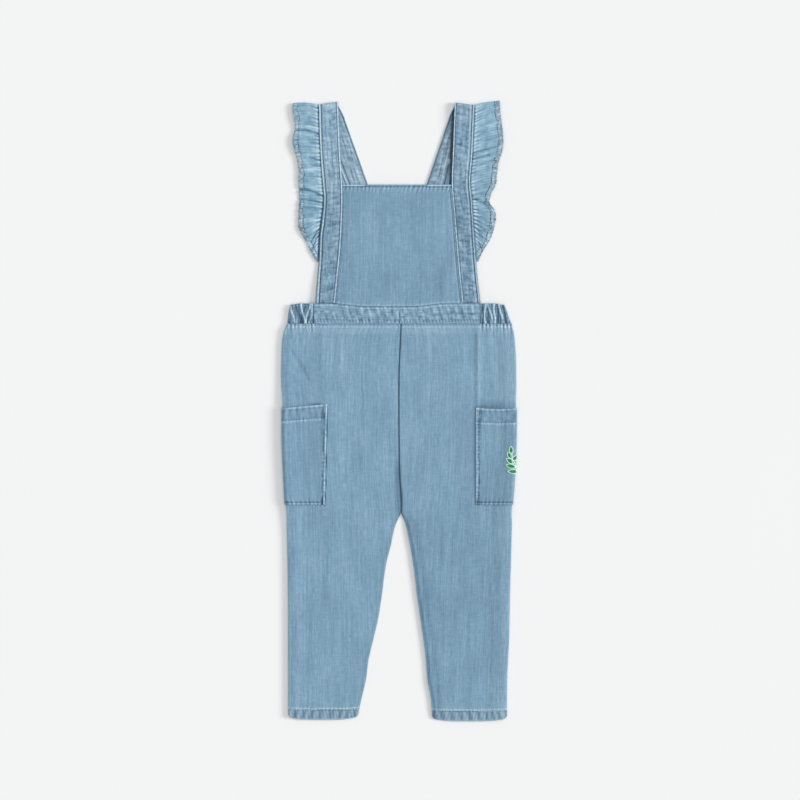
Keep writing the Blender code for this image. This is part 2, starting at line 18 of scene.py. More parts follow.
import bpy
import numpy as np
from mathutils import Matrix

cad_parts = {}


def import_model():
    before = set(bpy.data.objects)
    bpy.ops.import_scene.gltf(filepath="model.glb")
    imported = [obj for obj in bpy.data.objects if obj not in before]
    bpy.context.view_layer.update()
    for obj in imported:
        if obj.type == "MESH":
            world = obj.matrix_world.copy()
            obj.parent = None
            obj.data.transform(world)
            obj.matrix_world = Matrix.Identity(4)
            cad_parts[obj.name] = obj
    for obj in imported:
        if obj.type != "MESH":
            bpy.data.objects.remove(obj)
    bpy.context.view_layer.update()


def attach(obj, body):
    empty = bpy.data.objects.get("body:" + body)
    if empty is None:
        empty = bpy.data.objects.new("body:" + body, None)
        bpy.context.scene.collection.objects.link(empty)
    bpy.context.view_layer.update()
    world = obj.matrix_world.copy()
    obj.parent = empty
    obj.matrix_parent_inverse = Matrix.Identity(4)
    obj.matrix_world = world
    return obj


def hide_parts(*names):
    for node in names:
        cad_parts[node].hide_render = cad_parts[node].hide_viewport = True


LOG = logging.getLogger("dungarees")

Array = np.ndarray
Piece = bpy.types.Object
Material = bpy.types.Material
Socket = bpy.types.NodeSocket
Colour = tuple[float, float, float, float]
Path = tuple[Array, Array]

MM = 0.001
LENGTH = 743.0          # hems to shoulder folds
OVERALL = 744.6         # hems to the top corner of the right ruffle
SEAM_GAP = 0.3          # between two pieces at a seam
CLOTH = 1.2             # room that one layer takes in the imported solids
LAYER_STEP = CLOTH + SEAM_GAP
WALL = 0.9              # one layer of denim as it is sewn
THREAD_OUT = 0.1        # how far a thread's middle lies off the cloth
GRAIN_UNIT = 100.0      # millimetres of cloth to one unit of the grain map
FACES_UP = 20           # in every piece, the cloth at this row and column faces up

WAIST_SEAM = 477.0
WAIST_TOP = 500.9
WAIST_DIP = 3.7         # the bib seam sags this much near the middle
WAIST_DIP_AT = -12.0    # where it hangs lowest
WAIST_DIP_HALF = 28.0   # half the width of the lowest part
WAIST_DIP_RUN = 45.0    # the seam climbs back over this much
BIB_TOP = 643.4
CROTCH = 251.0


class Held(Enum):
    """How a sheet of cloth is held."""

    LAID = "laid"
    GATHERED = "gathered"
    FOLDED = "folded"


class Slot(Enum):
    """The part's material slots."""

    DENIM = "denim"
    THREAD = "thread"
    GREEN = "embroidery_green"
    MINT = "embroidery_mint"


# ------------------------------------------------------------------------------ curves and unevenness
def ease(t: Array | float) -> Array:
    """Return 0 to 1 along a smooth S, for t from 0 to 1."""
    t = np.clip(t, 0.0, 1.0)
    return t * t * (3.0 - 2.0 * t)


def fade(value: Array | float, run: float) -> Array:
    """Return 1 up to 0, easing to 0 over run."""
    return 1.0 - ease(value / run)


def mix(a: Array | float, b: Array | float, t: Array | float) -> Array:
    """Return a to b by the share t."""
    return a + (b - a) * t


def window(value: Array, low: float, high: float, run: float) -> Array:
    """Return 1 between low and high, easing to 0 over run outside them."""
    return ease((value - low + run) / run) * ease((high - value + run) / run)


def bump(value: Array, middle: Array | float, half: Array | float) -> Array:
    """Return a soft hill of height 1 at middle, that ends half away from it."""
    return 1.0 - ease(np.abs(value - middle) / half)


def grid(*parts: Array | float) -> Array:
    """Return places whose coordinates are the parts."""
    return np.stack(np.broadcast_arrays(*parts), axis=-1)


def unit(vectors: Array) -> Array:
    """Return vectors at a length of 1."""
    return vectors / np.maximum(np.linalg.norm(vectors, axis=-1, keepdims=True), 1e-9)


def stretches(*runs: tuple[float, float, int]) -> Array:
    """Return evenly spaced places along runs that meet, each given by its ends and its number of places."""
    parts = [np.linspace(*run) for run in runs]
    return np.concatenate([part[:-1] for part in parts[:-1]] + parts[-1:])


def runs_along(points: Array, axis: int = 0) -> Array:
    """Return how far along its line of points each one is."""
    steps = np.linalg.norm(np.diff(points, axis=axis), axis=-1)
    return np.cumsum(np.concatenate([0 * np.take(steps, [0], axis=axis), steps], axis=axis), axis=axis)


def follow(rows: tuple, height: Array | float, column: str = "value") -> Array:
    """Read one column of a table along a smooth curve through its rows.

    Args:
        rows: Rows of a table, by rising height.
        height: Heights to read it at.
        column: Name of the column.

    Returns:
        The column's value at each height.
    """
    xs = np.array([row.height for row in rows], float)
    ys = np.array([getattr(row, column) for row in rows], float)
    slopes = np.gradient(ys, xs)
    height = np.clip(height, xs[0], xs[-1])
    k = np.clip(np.searchsorted(xs, height, side="right") - 1, 0, len(xs) - 2)
    span = xs[k + 1] - xs[k]
    t = (height - xs[k]) / span
    bend = span * (t * (1 - t) ** 2 * slopes[k] - t * t * (1 - t) * slopes[k + 1])
    return mix(ys[k], ys[k + 1], ease(t)) + bend


def lattice(ix: Array, iy: Array, seed: float) -> Array:
    """Return a fixed value from -1 to 1 for each whole-number place."""
    value = np.sin(ix * 127.1 + iy * 311.7 + seed * 74.7) * 43758.5453
    return 2.0 * (value - np.floor(value)) - 1.0


def uneven(x: Array, y: Array | float, pitch_x: float, pitch_y: float, seed: float) -> Array:
    """Return smooth unevenness from -1 to 1.

    Args:
        x: Places across, in millimetres.
        y: Places along, in millimetres.
        pitch_x: Usual size of a patch across.
        pitch_y: Usual size of a patch along.
        seed: Chooses the pattern.

    Returns:
        One value for each place.
    """
    gx, gy = np.broadcast_arrays(x / pitch_x, y / pitch_y)
    ix, iy = np.floor(gx), np.floor(gy)
    fx, fy = ease(gx - ix), ease(gy - iy)
    low = mix(lattice(ix, iy, seed), lattice(ix + 1, iy, seed), fx)
    high = mix(lattice(ix, iy + 1, seed), lattice(ix + 1, iy + 1, seed), fx)
    return mix(low, high, fy)


def gathers(place: Array, pitch: float, seed: float) -> Array:
    """Lay folds side by side, uneven in width and depth.

    Args:
        place: Places across the folds.
        pitch: Usual width of a fold.
        seed: Chooses the pattern.

    Returns:
        -1 in a valley up to 1 on a crest.
    """
    drift = 2.4 * uneven(place, 0.0, 2.6 * pitch, 1.0, seed)
    depth = 0.72 + 0.28 * uneven(place, 0.0, 1.8 * pitch, 1.0, seed + 5.0)
    return depth * np.sin(2.0 * math.pi * place / pitch + drift)


# ------------------------------------------------------------------------------ relief and seams
@dataclass
class Relief:
    """What is pressed into a piece of cloth, and washed or painted into it as shade and highlight."""

    lift: Array | float = 0.0
    wear_and_shade: Array | float = 0.0

    def press(self, form: Array, lift: Array | float = 0.0, wear_and_shade: Array | float = 0.0) -> None:
        """Add one form, by how far it lifts the cloth and how far its wash or painted shade and highlight
        pale or darken it.
        """
        self.lift = self.lift + lift * form
        self.wear_and_shade = self.wear_and_shade + wear_and_shade * form


@dataclass(frozen=True)
class Seam:
    """A stitched edge: a worn ridge, a groove beside it that is dark from the wash and from painted shade,
    and the puckers that the thread draws up, with painted shade and highlight on them.
    """

    ridge_at: float
    groove_at: float
    seed: float
    ridge: float = 0.25
    groove: float = 0.25
    half: float = 1.3
    pale: float = 0.7
    dark: float = 0.6
    pucker: float = 0.25
    pitch: float = 4.8
    spread: float = 5.0
    slant: float = 0.25
    pucker_wear_and_shade: float = 0.35
    crest: float = 1.0      # the ridge's width, as a share of the groove's
    wander: float = 0.0     # how far the line strays
    fray: float = 0.25      # how unevenly it is worn

    def sew(self, relief: Relief, distance: Array, place: Array, share: Array | float = 1.0) -> None:
        """Press the seam into a piece of cloth.

        Args:
            relief: The cloth's relief.
            distance: How far each place is from the edge.
            place: How far along the seam it is.
            share: How strongly the seam shows there.
        """
        distance = distance + self.wander * uneven(place, 0.0, 5.0, 1.0, self.seed + 4)
        near = bump(distance, (self.ridge_at + self.groove_at) / 2, self.spread)
        pucker = gathers(place + self.slant * distance, self.pitch, self.seed) * near
        worn = 1 - self.fray + self.fray * uneven(place, 0.0, 3.1, 1.0, self.seed + 2)
        ridge = bump(distance, self.ridge_at, self.half * self.crest) * share
        groove = bump(distance, self.groove_at, self.half) * share
        relief.press(ridge, self.ridge, self.pale * worn)
        relief.press(groove, -self.groove, -self.dark * worn)
        # Painted shade and highlight on the puckers, following their lift.
        relief.press(pucker * share, self.pucker, self.pucker_wear_and_shade)


# ------------------------------------------------------------------------------ tables
@dataclass(frozen=True)
class At:
    """A measured value at one height of the garment, such as a level, a reach or a tone."""

    height: float
    value: float


def table(kind: type, *rows: tuple) -> tuple:
    """Return a table of one kind of row, each made from its values."""
    return tuple(kind(*row) for row in rows)


@dataclass(frozen=True)
class LegRow:
    """A leg's outline at one height."""

    height: float
    outer: float
    inner: float


@dataclass(frozen=True)
class StrapRow:
    """A strap's two edges at one height."""

    height: float
    inner: float
    outer: float


@dataclass(frozen=True)
class RuffleRow:
    """How wide a ruffle is, and how its gathers slant, at one height."""

    height: float
    width: float
    slant: float = 0.0


@dataclass(frozen=True)
class Crease:
    """A soft ridge, or a trough if its lift is below 0, from its low end to its top end.  With no lift it is
    only a painted line of shade or highlight.
    """

    low_height: float
    low_reach: float
    top_height: float
    top_reach: float
    lift: float
    half_width: float
    wear_and_shade: float = 0.0

    def form(self, height: Array, reach: Array, full: tuple[float, float], run: float) -> Array:
        """Work out its form.

        Args:
            height: Each place's height.
            reach: Its reach.
            full: The shares of its length that it is whole between.
            run: The share of its length that it eases out over.

        Returns:
            1 on the crease, down to 0 off it.
        """
        share = (height - self.low_height) / (self.top_height - self.low_height)
        middle = mix(self.low_reach, self.top_reach, share)
        return bump(reach, middle, self.half_width) * window(share, *full, run)


@dataclass(frozen=True)
class Lobe:
    """A broad wave of a ruffle's hem."""

    height: float
    half_width: float
    rise: float


@dataclass(frozen=True)
class RuffleFold:
    """A fold across a ruffle, from the height of its seam end to that of its hem end."""

    seam_height: float
    hem_height: float
    rise: float
    half_width: float
    start: float = 0.0
    end: float = 1.0
    wear_and_shade: float = 0.0


@dataclass(frozen=True)
class EdgeShading:
    """Painted light or shade beside a side fold: whole up to a start, and easing out over a run."""

    start: float
    run: float
    wear_and_shade: float


@dataclass(frozen=True)
class ElasticFold:
    """A fold across an elastic end of the waistband, by its reach above and below."""

    top: float
    low: float
    rise: float
    half_width: float


@dataclass(frozen=True)
class PocketSize:
    """A patch pocket's edges, the fall and sag of its top, its hem and front seam, the painted shadow that it
    casts on the leg (shade, front_dark, top_dark), and how dark its rim (painted shade) and bartack are.
    """

    top: float
    inner: float
    low_inner: float
    slant: float
    sag: float
    hem: float
    shade: float
    front_dark: float
    top_dark: float
    rim_dark: float
    tack_dark: float
    edge: Seam


@dataclass(frozen=True)
class Side:
    """What differs between the garment's left and right, by tables of measured places."""

    name: str
    sign: int
    leg: tuple[LegRow, ...]
    creases: tuple[Crease, ...]
    hem_rise: float
    inseam_lift: float
    inseam_shade: float
    inseam_tone: tuple[float, float, float]
    inseam_band: float
    fold_shading: tuple[EdgeShading, ...]
    low_dark: float
    pocket: PocketSize
    band_start: float
    band: tuple[At, ...]
    elastic: tuple[ElasticFold, ...]
    strap: tuple[StrapRow, ...]
    strap_tone: tuple[At, ...]
    outer_seam: Seam
    inner_seam: Seam
    seam_inset: tuple[At, ...]
    inside_pale: float
    sewn_at: float
    back_tone: float
    back_shade_lines: tuple[Crease, ...]
    back_end: float
    back_flare: float
    lifted: bool
    shoulder_inner: float
    shoulder_outer: float
    ruffle: tuple[RuffleRow, ...]
    ruffle_tilt: float
    ruffle_arch: float
    root_dark: tuple[At, ...]
    foot_dark: float
    lobes: tuple[Lobe, ...]
    folds: tuple[RuffleFold, ...]


LEFT = Side(
    name="left", sign=-1,
    leg=table(
        LegRow, (0, 133.2, 49.6), (25, 133.2, 45.0), (49, 133.2, 39.6), (73, 133.2, 36.5), (97, 133.2, 31.0),
        (121, 133.2, 25.4), (154, 133.4, 20.2), (175, 133.6, 17.6), (193, 134.0, 14.5), (211, 134.2, 9.8),
        (224, 134.6, 7.2), (234, 135.0, 4.6), (243, 135.4, 0.8), (CROTCH, 136.2, -2.3), (256, 136.8, -2.5),
        (262, 137.4, -2.6), (275, 138.4, -2.0), (289, 139.2, -0.9), (337, 140.8, 0.0), (378, 141.2, 0.2),
        (409, 141.6, 0.2), (440, 141.2, -0.8), (460, 139.8, -1.8), (470, 137.4, -2.2),
        (WAIST_SEAM, 134.0, -2.4),
    ),
    creases=table(
        Crease, (385, 88, 463, 92, 0.6, 8), (409, 108, 445, 129, -0.8, 4.5, -0.2),
        (418, 79, 462, 79, -0.4, 4), (408, 70, 464, 71, 0.35, 4.5, 0.1), (211, 26, 280, 17, -0.45, 7),
        (205, 60, 262, 59, -0.4, 8), (150, 84, 235, 82, 0.3, 7), (60, 100, 150, 104, 0.3, 9),
        (30, 66, 110, 70, -0.3, 8), (300, 40, 420, 44, 0.25, 9),
    ),
    hem_rise=1.7, inseam_lift=0.0, inseam_shade=9.0, inseam_tone=(-0.2, 2.6, 3.0), inseam_band=0.0,
    # painted light on the left side fold, which is turned from the key light, and painted shade in from it
    fold_shading=table(EdgeShading, (0.0, 6.0, 0.75), (2.0, 16.0, -0.24)), low_dark=0.02,
    pocket=PocketSize(
        top=378.0, inner=86.2, low_inner=89.2, slant=4.8, sag=0.0, hem=17.0, shade=0.0, front_dark=1.35,
        top_dark=0.8, rim_dark=0.2, tack_dark=0.35,
        edge=Seam(0.6, 3.3, 50.0, ridge=0.3, groove=0.4, half=1.5, pale=1.35, dark=0.95, pucker=0.12,
                  pitch=5.0, slant=0.1, pucker_wear_and_shade=0.3, crest=0.6, wander=0.5, fray=0.6),
    ),
    band_start=102.0,
    band=table(At, (WAIST_SEAM, 134.0), (485, 133.2), (491, 132.6), (499.4, 130.0)),
    elastic=table(
        ElasticFold, (129.6, 126.0, 1.1, 2.0), (117.2, 113.2, 1.1, 1.9), (106.6, 112.0, 1.0, 1.6),
        (103.4, 107.6, 0.9, 1.3), (123.2, 118.0, -0.9, 3.6), (112.4, 116.6, -0.7, 2.6),
        (102.0, 102.6, -1.0, 1.6), (121.6, 122.6, 0.4, 1.2), (108.8, 109.4, -0.8, 1.6),
    ),
    strap=table(
        StrapRow, (WAIST_TOP, 77.3, 100.2), (529, 74.3, 98.0), (553, 71.9, 96.0), (583, 69.5, 94.7),
        (606, 68.6, 91.9), (630, 68.1, 90.2), (BIB_TOP, 68.5, 91.1), (680, 70.9, 93.7), (LENGTH, 73.4, 96.2),
    ),
    strap_tone=table(At, (WAIST_TOP, -0.02), (560, -0.04), (612, -0.08), (655, 0.2), (LENGTH, 0.22)),
    outer_seam=Seam(0.75, 2.5, 120.0, groove=0.45, pale=1.5, dark=2.5, pucker=0.1, pitch=5.2, spread=4.0,
                    slant=0.2, pucker_wear_and_shade=0.2, crest=0.55, wander=0.15),
    inner_seam=Seam(0.5, 2.1, 121.0, groove=0.35, half=1.0, pale=1.6, dark=2.1, pucker=0.1, pitch=5.6,
                    spread=4.0, slant=0.2, pucker_wear_and_shade=0.2, crest=0.75, wander=0.15),
    seam_inset=table(At, (WAIST_TOP, 1.9), (545, 1.0), (613, 0.85), (650, 0.0), (LENGTH, 0.0)),
    inside_pale=0.0, sewn_at=1.7, back_tone=0.2,
    # painted lines of crease shade and highlight on the back strap
    back_shade_lines=table(
        Crease, (644, 58.6, 672, 69.6, 0.0, 1.3, -1.4), (644, 61.6, 668, 71.5, 0.0, 0.9, 0.9),
        (644, 64.0, 664, 71.6, 0.0, 1.1, -1.2), (644, 49.4, 725, 66.5, 0.0, 0.9, -0.6),
        (644, 45.4, 712, 64.0, 0.0, 0.8, 0.45), (650, 54.4, 700, 68.0, 0.0, 1.2, -0.5),
    ),
    back_end=0.6, back_flare=4.0, lifted=False, shoulder_inner=743.0, shoulder_outer=739.8,
    ruffle=table(
        RuffleRow, (551, 2.2, -1.9), (560, 8.1, -1.7), (571, 13.9, -1.4), (582, 19.9, -1.0),
        (592, 26.3, -0.5), (607, 28.3, -0.1), (643, 29.0, 0.1), (667, 27.6, 0.0), (678, 29.3, 0.0),
        (693, 32.8, 0.1), (711, 29.3, 0.1), (735, 31.4, 0.0), (LENGTH, 29.6, 0.0),
    ),
    ruffle_tilt=5.0, ruffle_arch=2.0,
    root_dark=table(At, (551, -2.4), (600, -2.4), (640, -1.9), (LENGTH, -1.9)),
    foot_dark=0.18,
    lobes=table(
        Lobe, (574, 12, -0.7), (588, 14, 0.6), (613, 18, 0.6), (630, 10, -0.8), (646, 20, 0.7),
        (663, 10, -0.6), (676, 12, -0.7), (692, 20, 0.8), (708, 10, -0.9), (726, 20, 0.7),
    ),
    folds=table(
        RuffleFold, (703, 707.5, -1.0, 2.6, 0.0, 0.9, -0.5), (709, 711.5, 0.6, 2.8, 0.0, 0.9, 0.4),
        (692, 694, -0.8, 2.2, 0.0, 0.3, -0.5), (672, 678, -0.9, 2.6, 0.0, 0.45, -0.6),
        (666, 667, -0.6, 2.2, 0.0, 0.35, -0.4), (661.5, 661, 0.8, 2.6, 0.0, 0.85, 0.5),
        (629, 638, -1.2, 2.6, 0.0, 1.0, -0.7), (634, 642, 0.6, 3.0, 0.0, 0.9, 0.2),
        (621, 626, -0.9, 2.4, 0.0, 1.0, -0.5), (614, 616, -0.6, 3.0, 0.35, 1.0, -0.3),
        (600, 601, 0.6, 3.0, 0.2, 1.0, 0.2), (594, 572, -1.0, 2.4, 0.0, 0.6, -0.6),
        (586, 566, -1.0, 2.2, 0.0, 0.6, -0.6),
    ),
)

RIGHT = Side(
    name="right", sign=1,
    leg=table(
        LegRow, (0, 129.6, 39.4), (25, 129.6, 38.4), (49, 129.8, 34.2), (73, 130.8, 32.4), (97, 132.0, 29.4),
        (121, 132.6, 26.0), (154, 133.2, 21.2), (169, 133.6, 19.6), (185, 134.2, 17.5), (201, 134.6, 15.0),
        (217, 135.0, 12.0), (230, 135.4, 9.4), (241, 135.8, 6.2), (CROTCH, 136.4, 2.4), (256, 136.8, 2.5),
        (262, 137.2, 2.6), (275, 138.4, 2.0), (289, 139.4, 0.9), (337, 141.4, 0.0), (378, 141.6, -0.2),
        (409, 140.8, -0.2), (440, 140.2, 0.8), (460, 138.6, 1.8), (470, 137.2, 2.2),
        (WAIST_SEAM, 135.2, 2.4),
    ),
    creases=table(
        Crease, (380, 94, 476, 97, 1.0, 9), (372, 95.5, 470, 95.5, 0.4, 2.2, 0.35),
        (382, 91, 465, 91.4, -0.5, 3, -0.2), (380, 121, 474, 116, -0.5, 9),
        (190, 50.4, 238, 50.4, -0.45, 5, -0.15), (186, 63.6, 232, 63.6, -0.4, 5, -0.12),
        (388, 34, 468, 34, 0.3, 4, 0.1), (80, 92, 180, 88, 0.3, 9), (40, 60, 140, 64, -0.3, 8),
        (300, 52, 400, 50, 0.25, 8),
    ),
    hem_rise=0.0, inseam_lift=1.4, inseam_shade=2.8, inseam_tone=(-0.4, 3.0, 2.6), inseam_band=-0.17,
    # painted light in from the right side fold, and painted shade at the fold itself
    fold_shading=table(EdgeShading, (9.0, 14.0, 0.2), (0.0, 5.0, -0.25)), low_dark=0.1,
    pocket=PocketSize(
        top=376.0, inner=91.9, low_inner=91.8, slant=0.6, sag=1.6, hem=18.2, shade=0.3, front_dark=0.1,
        top_dark=0.3, rim_dark=0.9, tack_dark=-0.1,
        edge=Seam(1.4, 4.0, 52.0, ridge=0.3, groove=0.3, half=1.5, pale=0.6, dark=1.3, pucker=0.12,
                  pitch=4.4, slant=0.1, crest=0.75, wander=0.4, fray=0.4),
    ),
    band_start=97.2,
    band=table(At, (WAIST_SEAM, 134.8), (484, 132.0), (491, 129.8), (499.4, 126.4)),
    elastic=table(
        ElasticFold, (103.2, 102.8, 0.9, 1.9), (106.6, 112.0, 1.0, 1.8), (114.0, 114.6, 1.0, 1.8),
        (120.2, 124.6, 1.0, 2.2), (100.0, 100.4, -1.0, 1.8), (104.6, 108.4, -0.8, 1.8),
        (117.4, 119.6, -0.8, 2.6), (123.8, 128.6, -0.9, 2.2),
    ),
    strap=table(
        StrapRow, (WAIST_TOP, 76.2, 97.6), (529, 73.1, 94.4), (553, 70.7, 92.2), (583, 68.3, 90.1),
        (613, 65.9, 88.4), (625, 64.7, 87.6), (BIB_TOP, 63.5, 85.4), (680, 64.7, 87.6), (LENGTH, 67.2, 90.3),
    ),
    strap_tone=table(At, (WAIST_TOP, -0.18), (560, -0.22), (612, -0.38), (655, -0.1), (LENGTH, -0.06)),
    outer_seam=Seam(0.75, 2.2, 122.0, groove=0.4, half=1.1, pale=1.4, dark=2.5, pucker=0.1, pitch=5.2,
                    spread=4.0, slant=0.2, pucker_wear_and_shade=0.2, crest=0.75, wander=0.15),
    inner_seam=Seam(0.2, 1.6, 123.0, groove=0.35, half=1.0, pale=1.6, dark=2.2, pucker=0.1, pitch=5.6,
                    spread=4.0, slant=0.2, pucker_wear_and_shade=0.2, crest=0.75, wander=0.15),
    seam_inset=table(At, (WAIST_TOP, 0.8), (545, 0.4), (580, 0.3), (613, 0.5), (650, 0.0), (LENGTH, -0.3)),
    inside_pale=0.8, sewn_at=1.1, back_tone=-0.16,
    # painted shadow that the raised front strap casts on the back strap, and painted crease lines
    back_shade_lines=table(
        Crease, (690, 64.0, 738, 66.0, 0.0, 3.6, -2.2), (640, 61.5, 700, 64.6, 0.0, 3.2, -2.3),
        (644, 50.6, 694, 61.0, 0.0, 1.7, 0.6), (644, 59.2, 663, 61.6, 0.0, 0.7, 1.3),
        (644, 54.2, 668, 59.6, 0.0, 1.6, -1.2), (644, 46.4, 690, 55.0, 0.0, 1.3, -0.5),
        (650, 45.0, 712, 61.0, 0.0, 1.3, 0.3),
    ),
    back_end=-1.4, back_flare=4.5, lifted=True, shoulder_inner=742.2, shoulder_outer=739.2,
    ruffle=table(
        RuffleRow, (551, 2.2, -1.6), (563, 8.3, -1.3), (577, 17.8, -1.0), (594, 24.8, -0.6),
        (606, 26.7, -0.25), (615, 25.2, -0.1), (621, 20.7, 0.0), (630, 22.4, 0.15), (643, 30.0, 0.35),
        (661, 31.6, 0.4), (673, 32.9, 0.4), (683, 35.7, 0.35), (709, 34.8, 0.3), (724, 32.1, 0.2),
        (LENGTH, 31.0, 0.1),
    ),
    ruffle_tilt=12.0, ruffle_arch=0.8,
    root_dark=table(At, (551, -0.3), (600, -0.25), (630, -0.4), (655, -2.0), (LENGTH, -1.1)),
    foot_dark=0.08,
    lobes=table(
        Lobe, (572, 12, 0.6), (584, 10, -0.7), (602, 18, 0.8), (622, 12, -1.0), (640, 18, 0.6),
        (654, 8, -0.7), (666, 14, 0.6), (677, 8, -0.8), (695, 22, 0.8), (712, 8, -0.6), (728, 18, 0.7),
    ),
    folds=table(
        RuffleFold, (630, 620, -1.3, 4.0, 0.0, 1.0, -0.45), (627, 624, -0.6, 2.2, 0.0, 0.3, -0.5),
        (704, 714, 0.6, 3.0, 0.2, 1.0, 0.1), (700, 707, -0.6, 4.0, 0.2, 0.9, -0.2),
        (680, 688, -0.7, 2.4, 0.0, 0.7, -0.3), (674, 680, -0.7, 2.4, 0.0, 0.55, -0.3),
        (690, 694, 0.5, 2.4, 0.0, 0.6, 0.25), (662, 674, -0.6, 4.0, 0.5, 1.0, -0.2),
        (614, 612, 0.6, 4.0, 0.3, 1.0, 0.15), (594, 576, -0.6, 2.2, 0.1, 0.95, -0.3),
        (600, 586, -0.5, 2.0, 0.1, 0.95, -0.25), (584, 564, -0.7, 2.2, 0.1, 0.95, -0.3),
    ),
)

BIB_LEVEL = table(At, (WAIST_TOP, 4.4), (545, 4.4), (590, 3.1), (BIB_TOP, 3.5))
STRAP_INNER_LEVEL = BIB_LEVEL + table(At, (690, 5.0), (LENGTH, 6.0))
STRAP_OUTER_LEVEL = table(
    At, (WAIST_TOP, 4.1), (522, 3.1), (548, 2.0), (580, 1.5), (640, 1.5), (672, 3.2), (700, 4.2),
    (LENGTH, 6.0),
)


# ------------------------------------------------------------------------------ sheets
@dataclass
class Sheet:
    """The middle surface of a piece of cloth: its points, grain, wear and painted shade, and dulled places.
    """

    points: Array
    grain: Array
    wear_and_shade: Array
    dull: Array | float | None = None

    def normals(self) -> Array:
        """Return which way the cloth faces at each point, as unit vectors."""
        normal = unit(np.cross(np.gradient(self.points, axis=1), np.gradient(self.points, axis=0)))
        return normal if normal[FACES_UP, FACES_UP, 2] > 0 else -normal

    def raise_by(self, lift: Array, lowest: float = -math.inf) -> None:
        """Move the points out by a lift, square to the cloth, but none below a lowest level."""
        self.points = self.points + self.normals() * lift[..., None]
        self.points[..., 2] = np.maximum(self.points[..., 2], lowest)

    def line_beside(self, distance: float, last: bool = False, first: int = 0,
                    end: int | None = None) -> Array:
        """Find a line down the rows, at one distance from the first or last column.

        Args:
            distance: Millimetres from the edge.
            last: Whether the edge is the last column.
            first: Row where the line starts.
            end: Row before which it ends.

        Returns:
            Fractional rows and columns, one pair a row.
        """
        runs = runs_along(self.points, axis=1)
        chosen = np.arange(len(runs))[first:end]
        found = [np.interp(run[-1] - distance if last else distance, run, np.arange(len(run)))
                 for run in runs[chosen]]
        return grid(chosen, found)

    def line_above(self, distance: float, last: bool = False, first: float = 0.0, end: float = 0.0) -> Array:
        """Find a line across the columns, at one distance from the first or last row.

        Args:
            distance: Millimetres from the edge.
            last: Whether the edge is the last row.
            first: Millimetres left out at the first column.
            end: Millimetres left out at the last column.

        Returns:
            Fractional rows and columns, one pair a column.
        """
        runs = runs_along(self.points).T
        cross = runs_along(self.points[-1 if last else 0])
        chosen = np.nonzero((cross >= first) & (cross <= cross[-1] - end))[0]
        found = [np.interp(run[-1] - distance if last else distance, run, np.arange(len(run)))
                 for run in runs[chosen]]
        return grid(found, chosen)

    def path(self, line: Array, out: float, under: bool = False) -> Path:
        """Read the cloth along a line of fractional rows and columns.

        Args:
            line: Fractional rows and columns.
            out: Millimetres off the middle surface.
            under: Whether the path lies on the cloth's other face.

        Returns:
            Points and unit vectors along the line.
        """
        last = np.array(self.points.shape[:2]) - 1.001
        places = np.clip(line, 0, last)
        row, column = places.astype(int).T
        down, across = (places - places.astype(int)).T[..., None]

        def read(values: Array) -> Array:
            """Return a grid's value at each place of the line."""
            low = mix(values[row, column], values[row, column + 1], across)
            return mix(low, mix(values[row + 1, column], values[row + 1, column + 1], across), down)

        facing = unit(read(self.normals())) * (-1 if under else 1)
        return read(self.points) + facing * out, facing


def to_metres(points: Array) -> Array:
    """Return garment points, in millimetres from the hems, as places in the scene."""
    return (points - np.array([0.0, OVERALL / 2, 0.0])) * MM


def deselect_all() -> None:
    """Leave nothing selected, so that an operator acts on the new piece alone."""
    for chosen in list(bpy.context.selected_objects):
        chosen.select_set(False)
    bpy.context.view_layer.objects.active = None


def write_places(mesh: bpy.types.Mesh, name: str, values: Array | float, shape: tuple[int, int]) -> None:
    """Keep one value for each of the cloth's points as an attribute of its mesh."""
    attribute = mesh.attributes.new(name, "FLOAT", "POINT")
    attribute.data.foreach_set("value", np.broadcast_to(values, shape).astype(np.float32).ravel())


def sew(name: str, sheet: Sheet, wall: float, finish: Material) -> Piece:
    """Make a piece of cloth from its sheet.

    Args:
        name: Name of the piece.
        sheet: Its middle surface.
        wall: Its thickness in millimetres.
        finish: Its material.

    Returns:
        The piece.
    """
    rows, columns = sheet.points.shape[:2]
    deselect_all()
    bpy.ops.mesh.primitive_grid_add(x_subdivisions=columns - 1, y_subdivisions=rows - 1, size=1.0)
    piece = bpy.context.object
    piece.name = name
    mesh = piece.data
    mesh.name = name
    mesh.vertices.foreach_set("co", to_metres(sheet.points).astype(np.float32).ravel())
    write_places(mesh, "wear_and_shade", sheet.wear_and_shade, (rows, columns))
    if sheet.dull is not None:
        write_places(mesh, "dull", sheet.dull, (rows, columns))
    corners = np.empty(len(mesh.loops), np.int32)
    mesh.loops.foreach_get("vertex_index", corners)
    while mesh.uv_layers:
        mesh.uv_layers.remove(mesh.uv_layers[0])
    grain = mesh.uv_layers.new(name="grain")
    places = sheet.grain.reshape(-1, 2)[corners] / GRAIN_UNIT
    grain.uv.foreach_set("vector", places.astype(np.float32).ravel())
    mesh.update()
    bpy.ops.object.mode_set(mode="EDIT")
    bpy.ops.mesh.select_all(action="SELECT")
    bpy.ops.mesh.normals_make_consistent(inside=False)
    bpy.ops.object.mode_set(mode="OBJECT")
    thickness = piece.modifiers.new("wall", "SOLIDIFY")
    thickness.thickness = wall * MM
    thickness.offset = 0.0
    bpy.ops.object.modifier_apply(modifier=thickness.name)
    bpy.ops.object.shade_smooth_by_angle(angle=math.radians(50))
    mesh.materials.append(finish)
    return piece


def cut(name: str, sheet: Sheet, wall: float, finish: Material) -> Piece:
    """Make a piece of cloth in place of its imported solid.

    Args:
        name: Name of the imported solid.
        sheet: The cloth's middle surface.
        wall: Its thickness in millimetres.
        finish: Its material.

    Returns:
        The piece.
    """
    piece = sew(name + "_cloth", sheet, wall, finish)
    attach(piece, "root")
    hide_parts(name)
    return piece


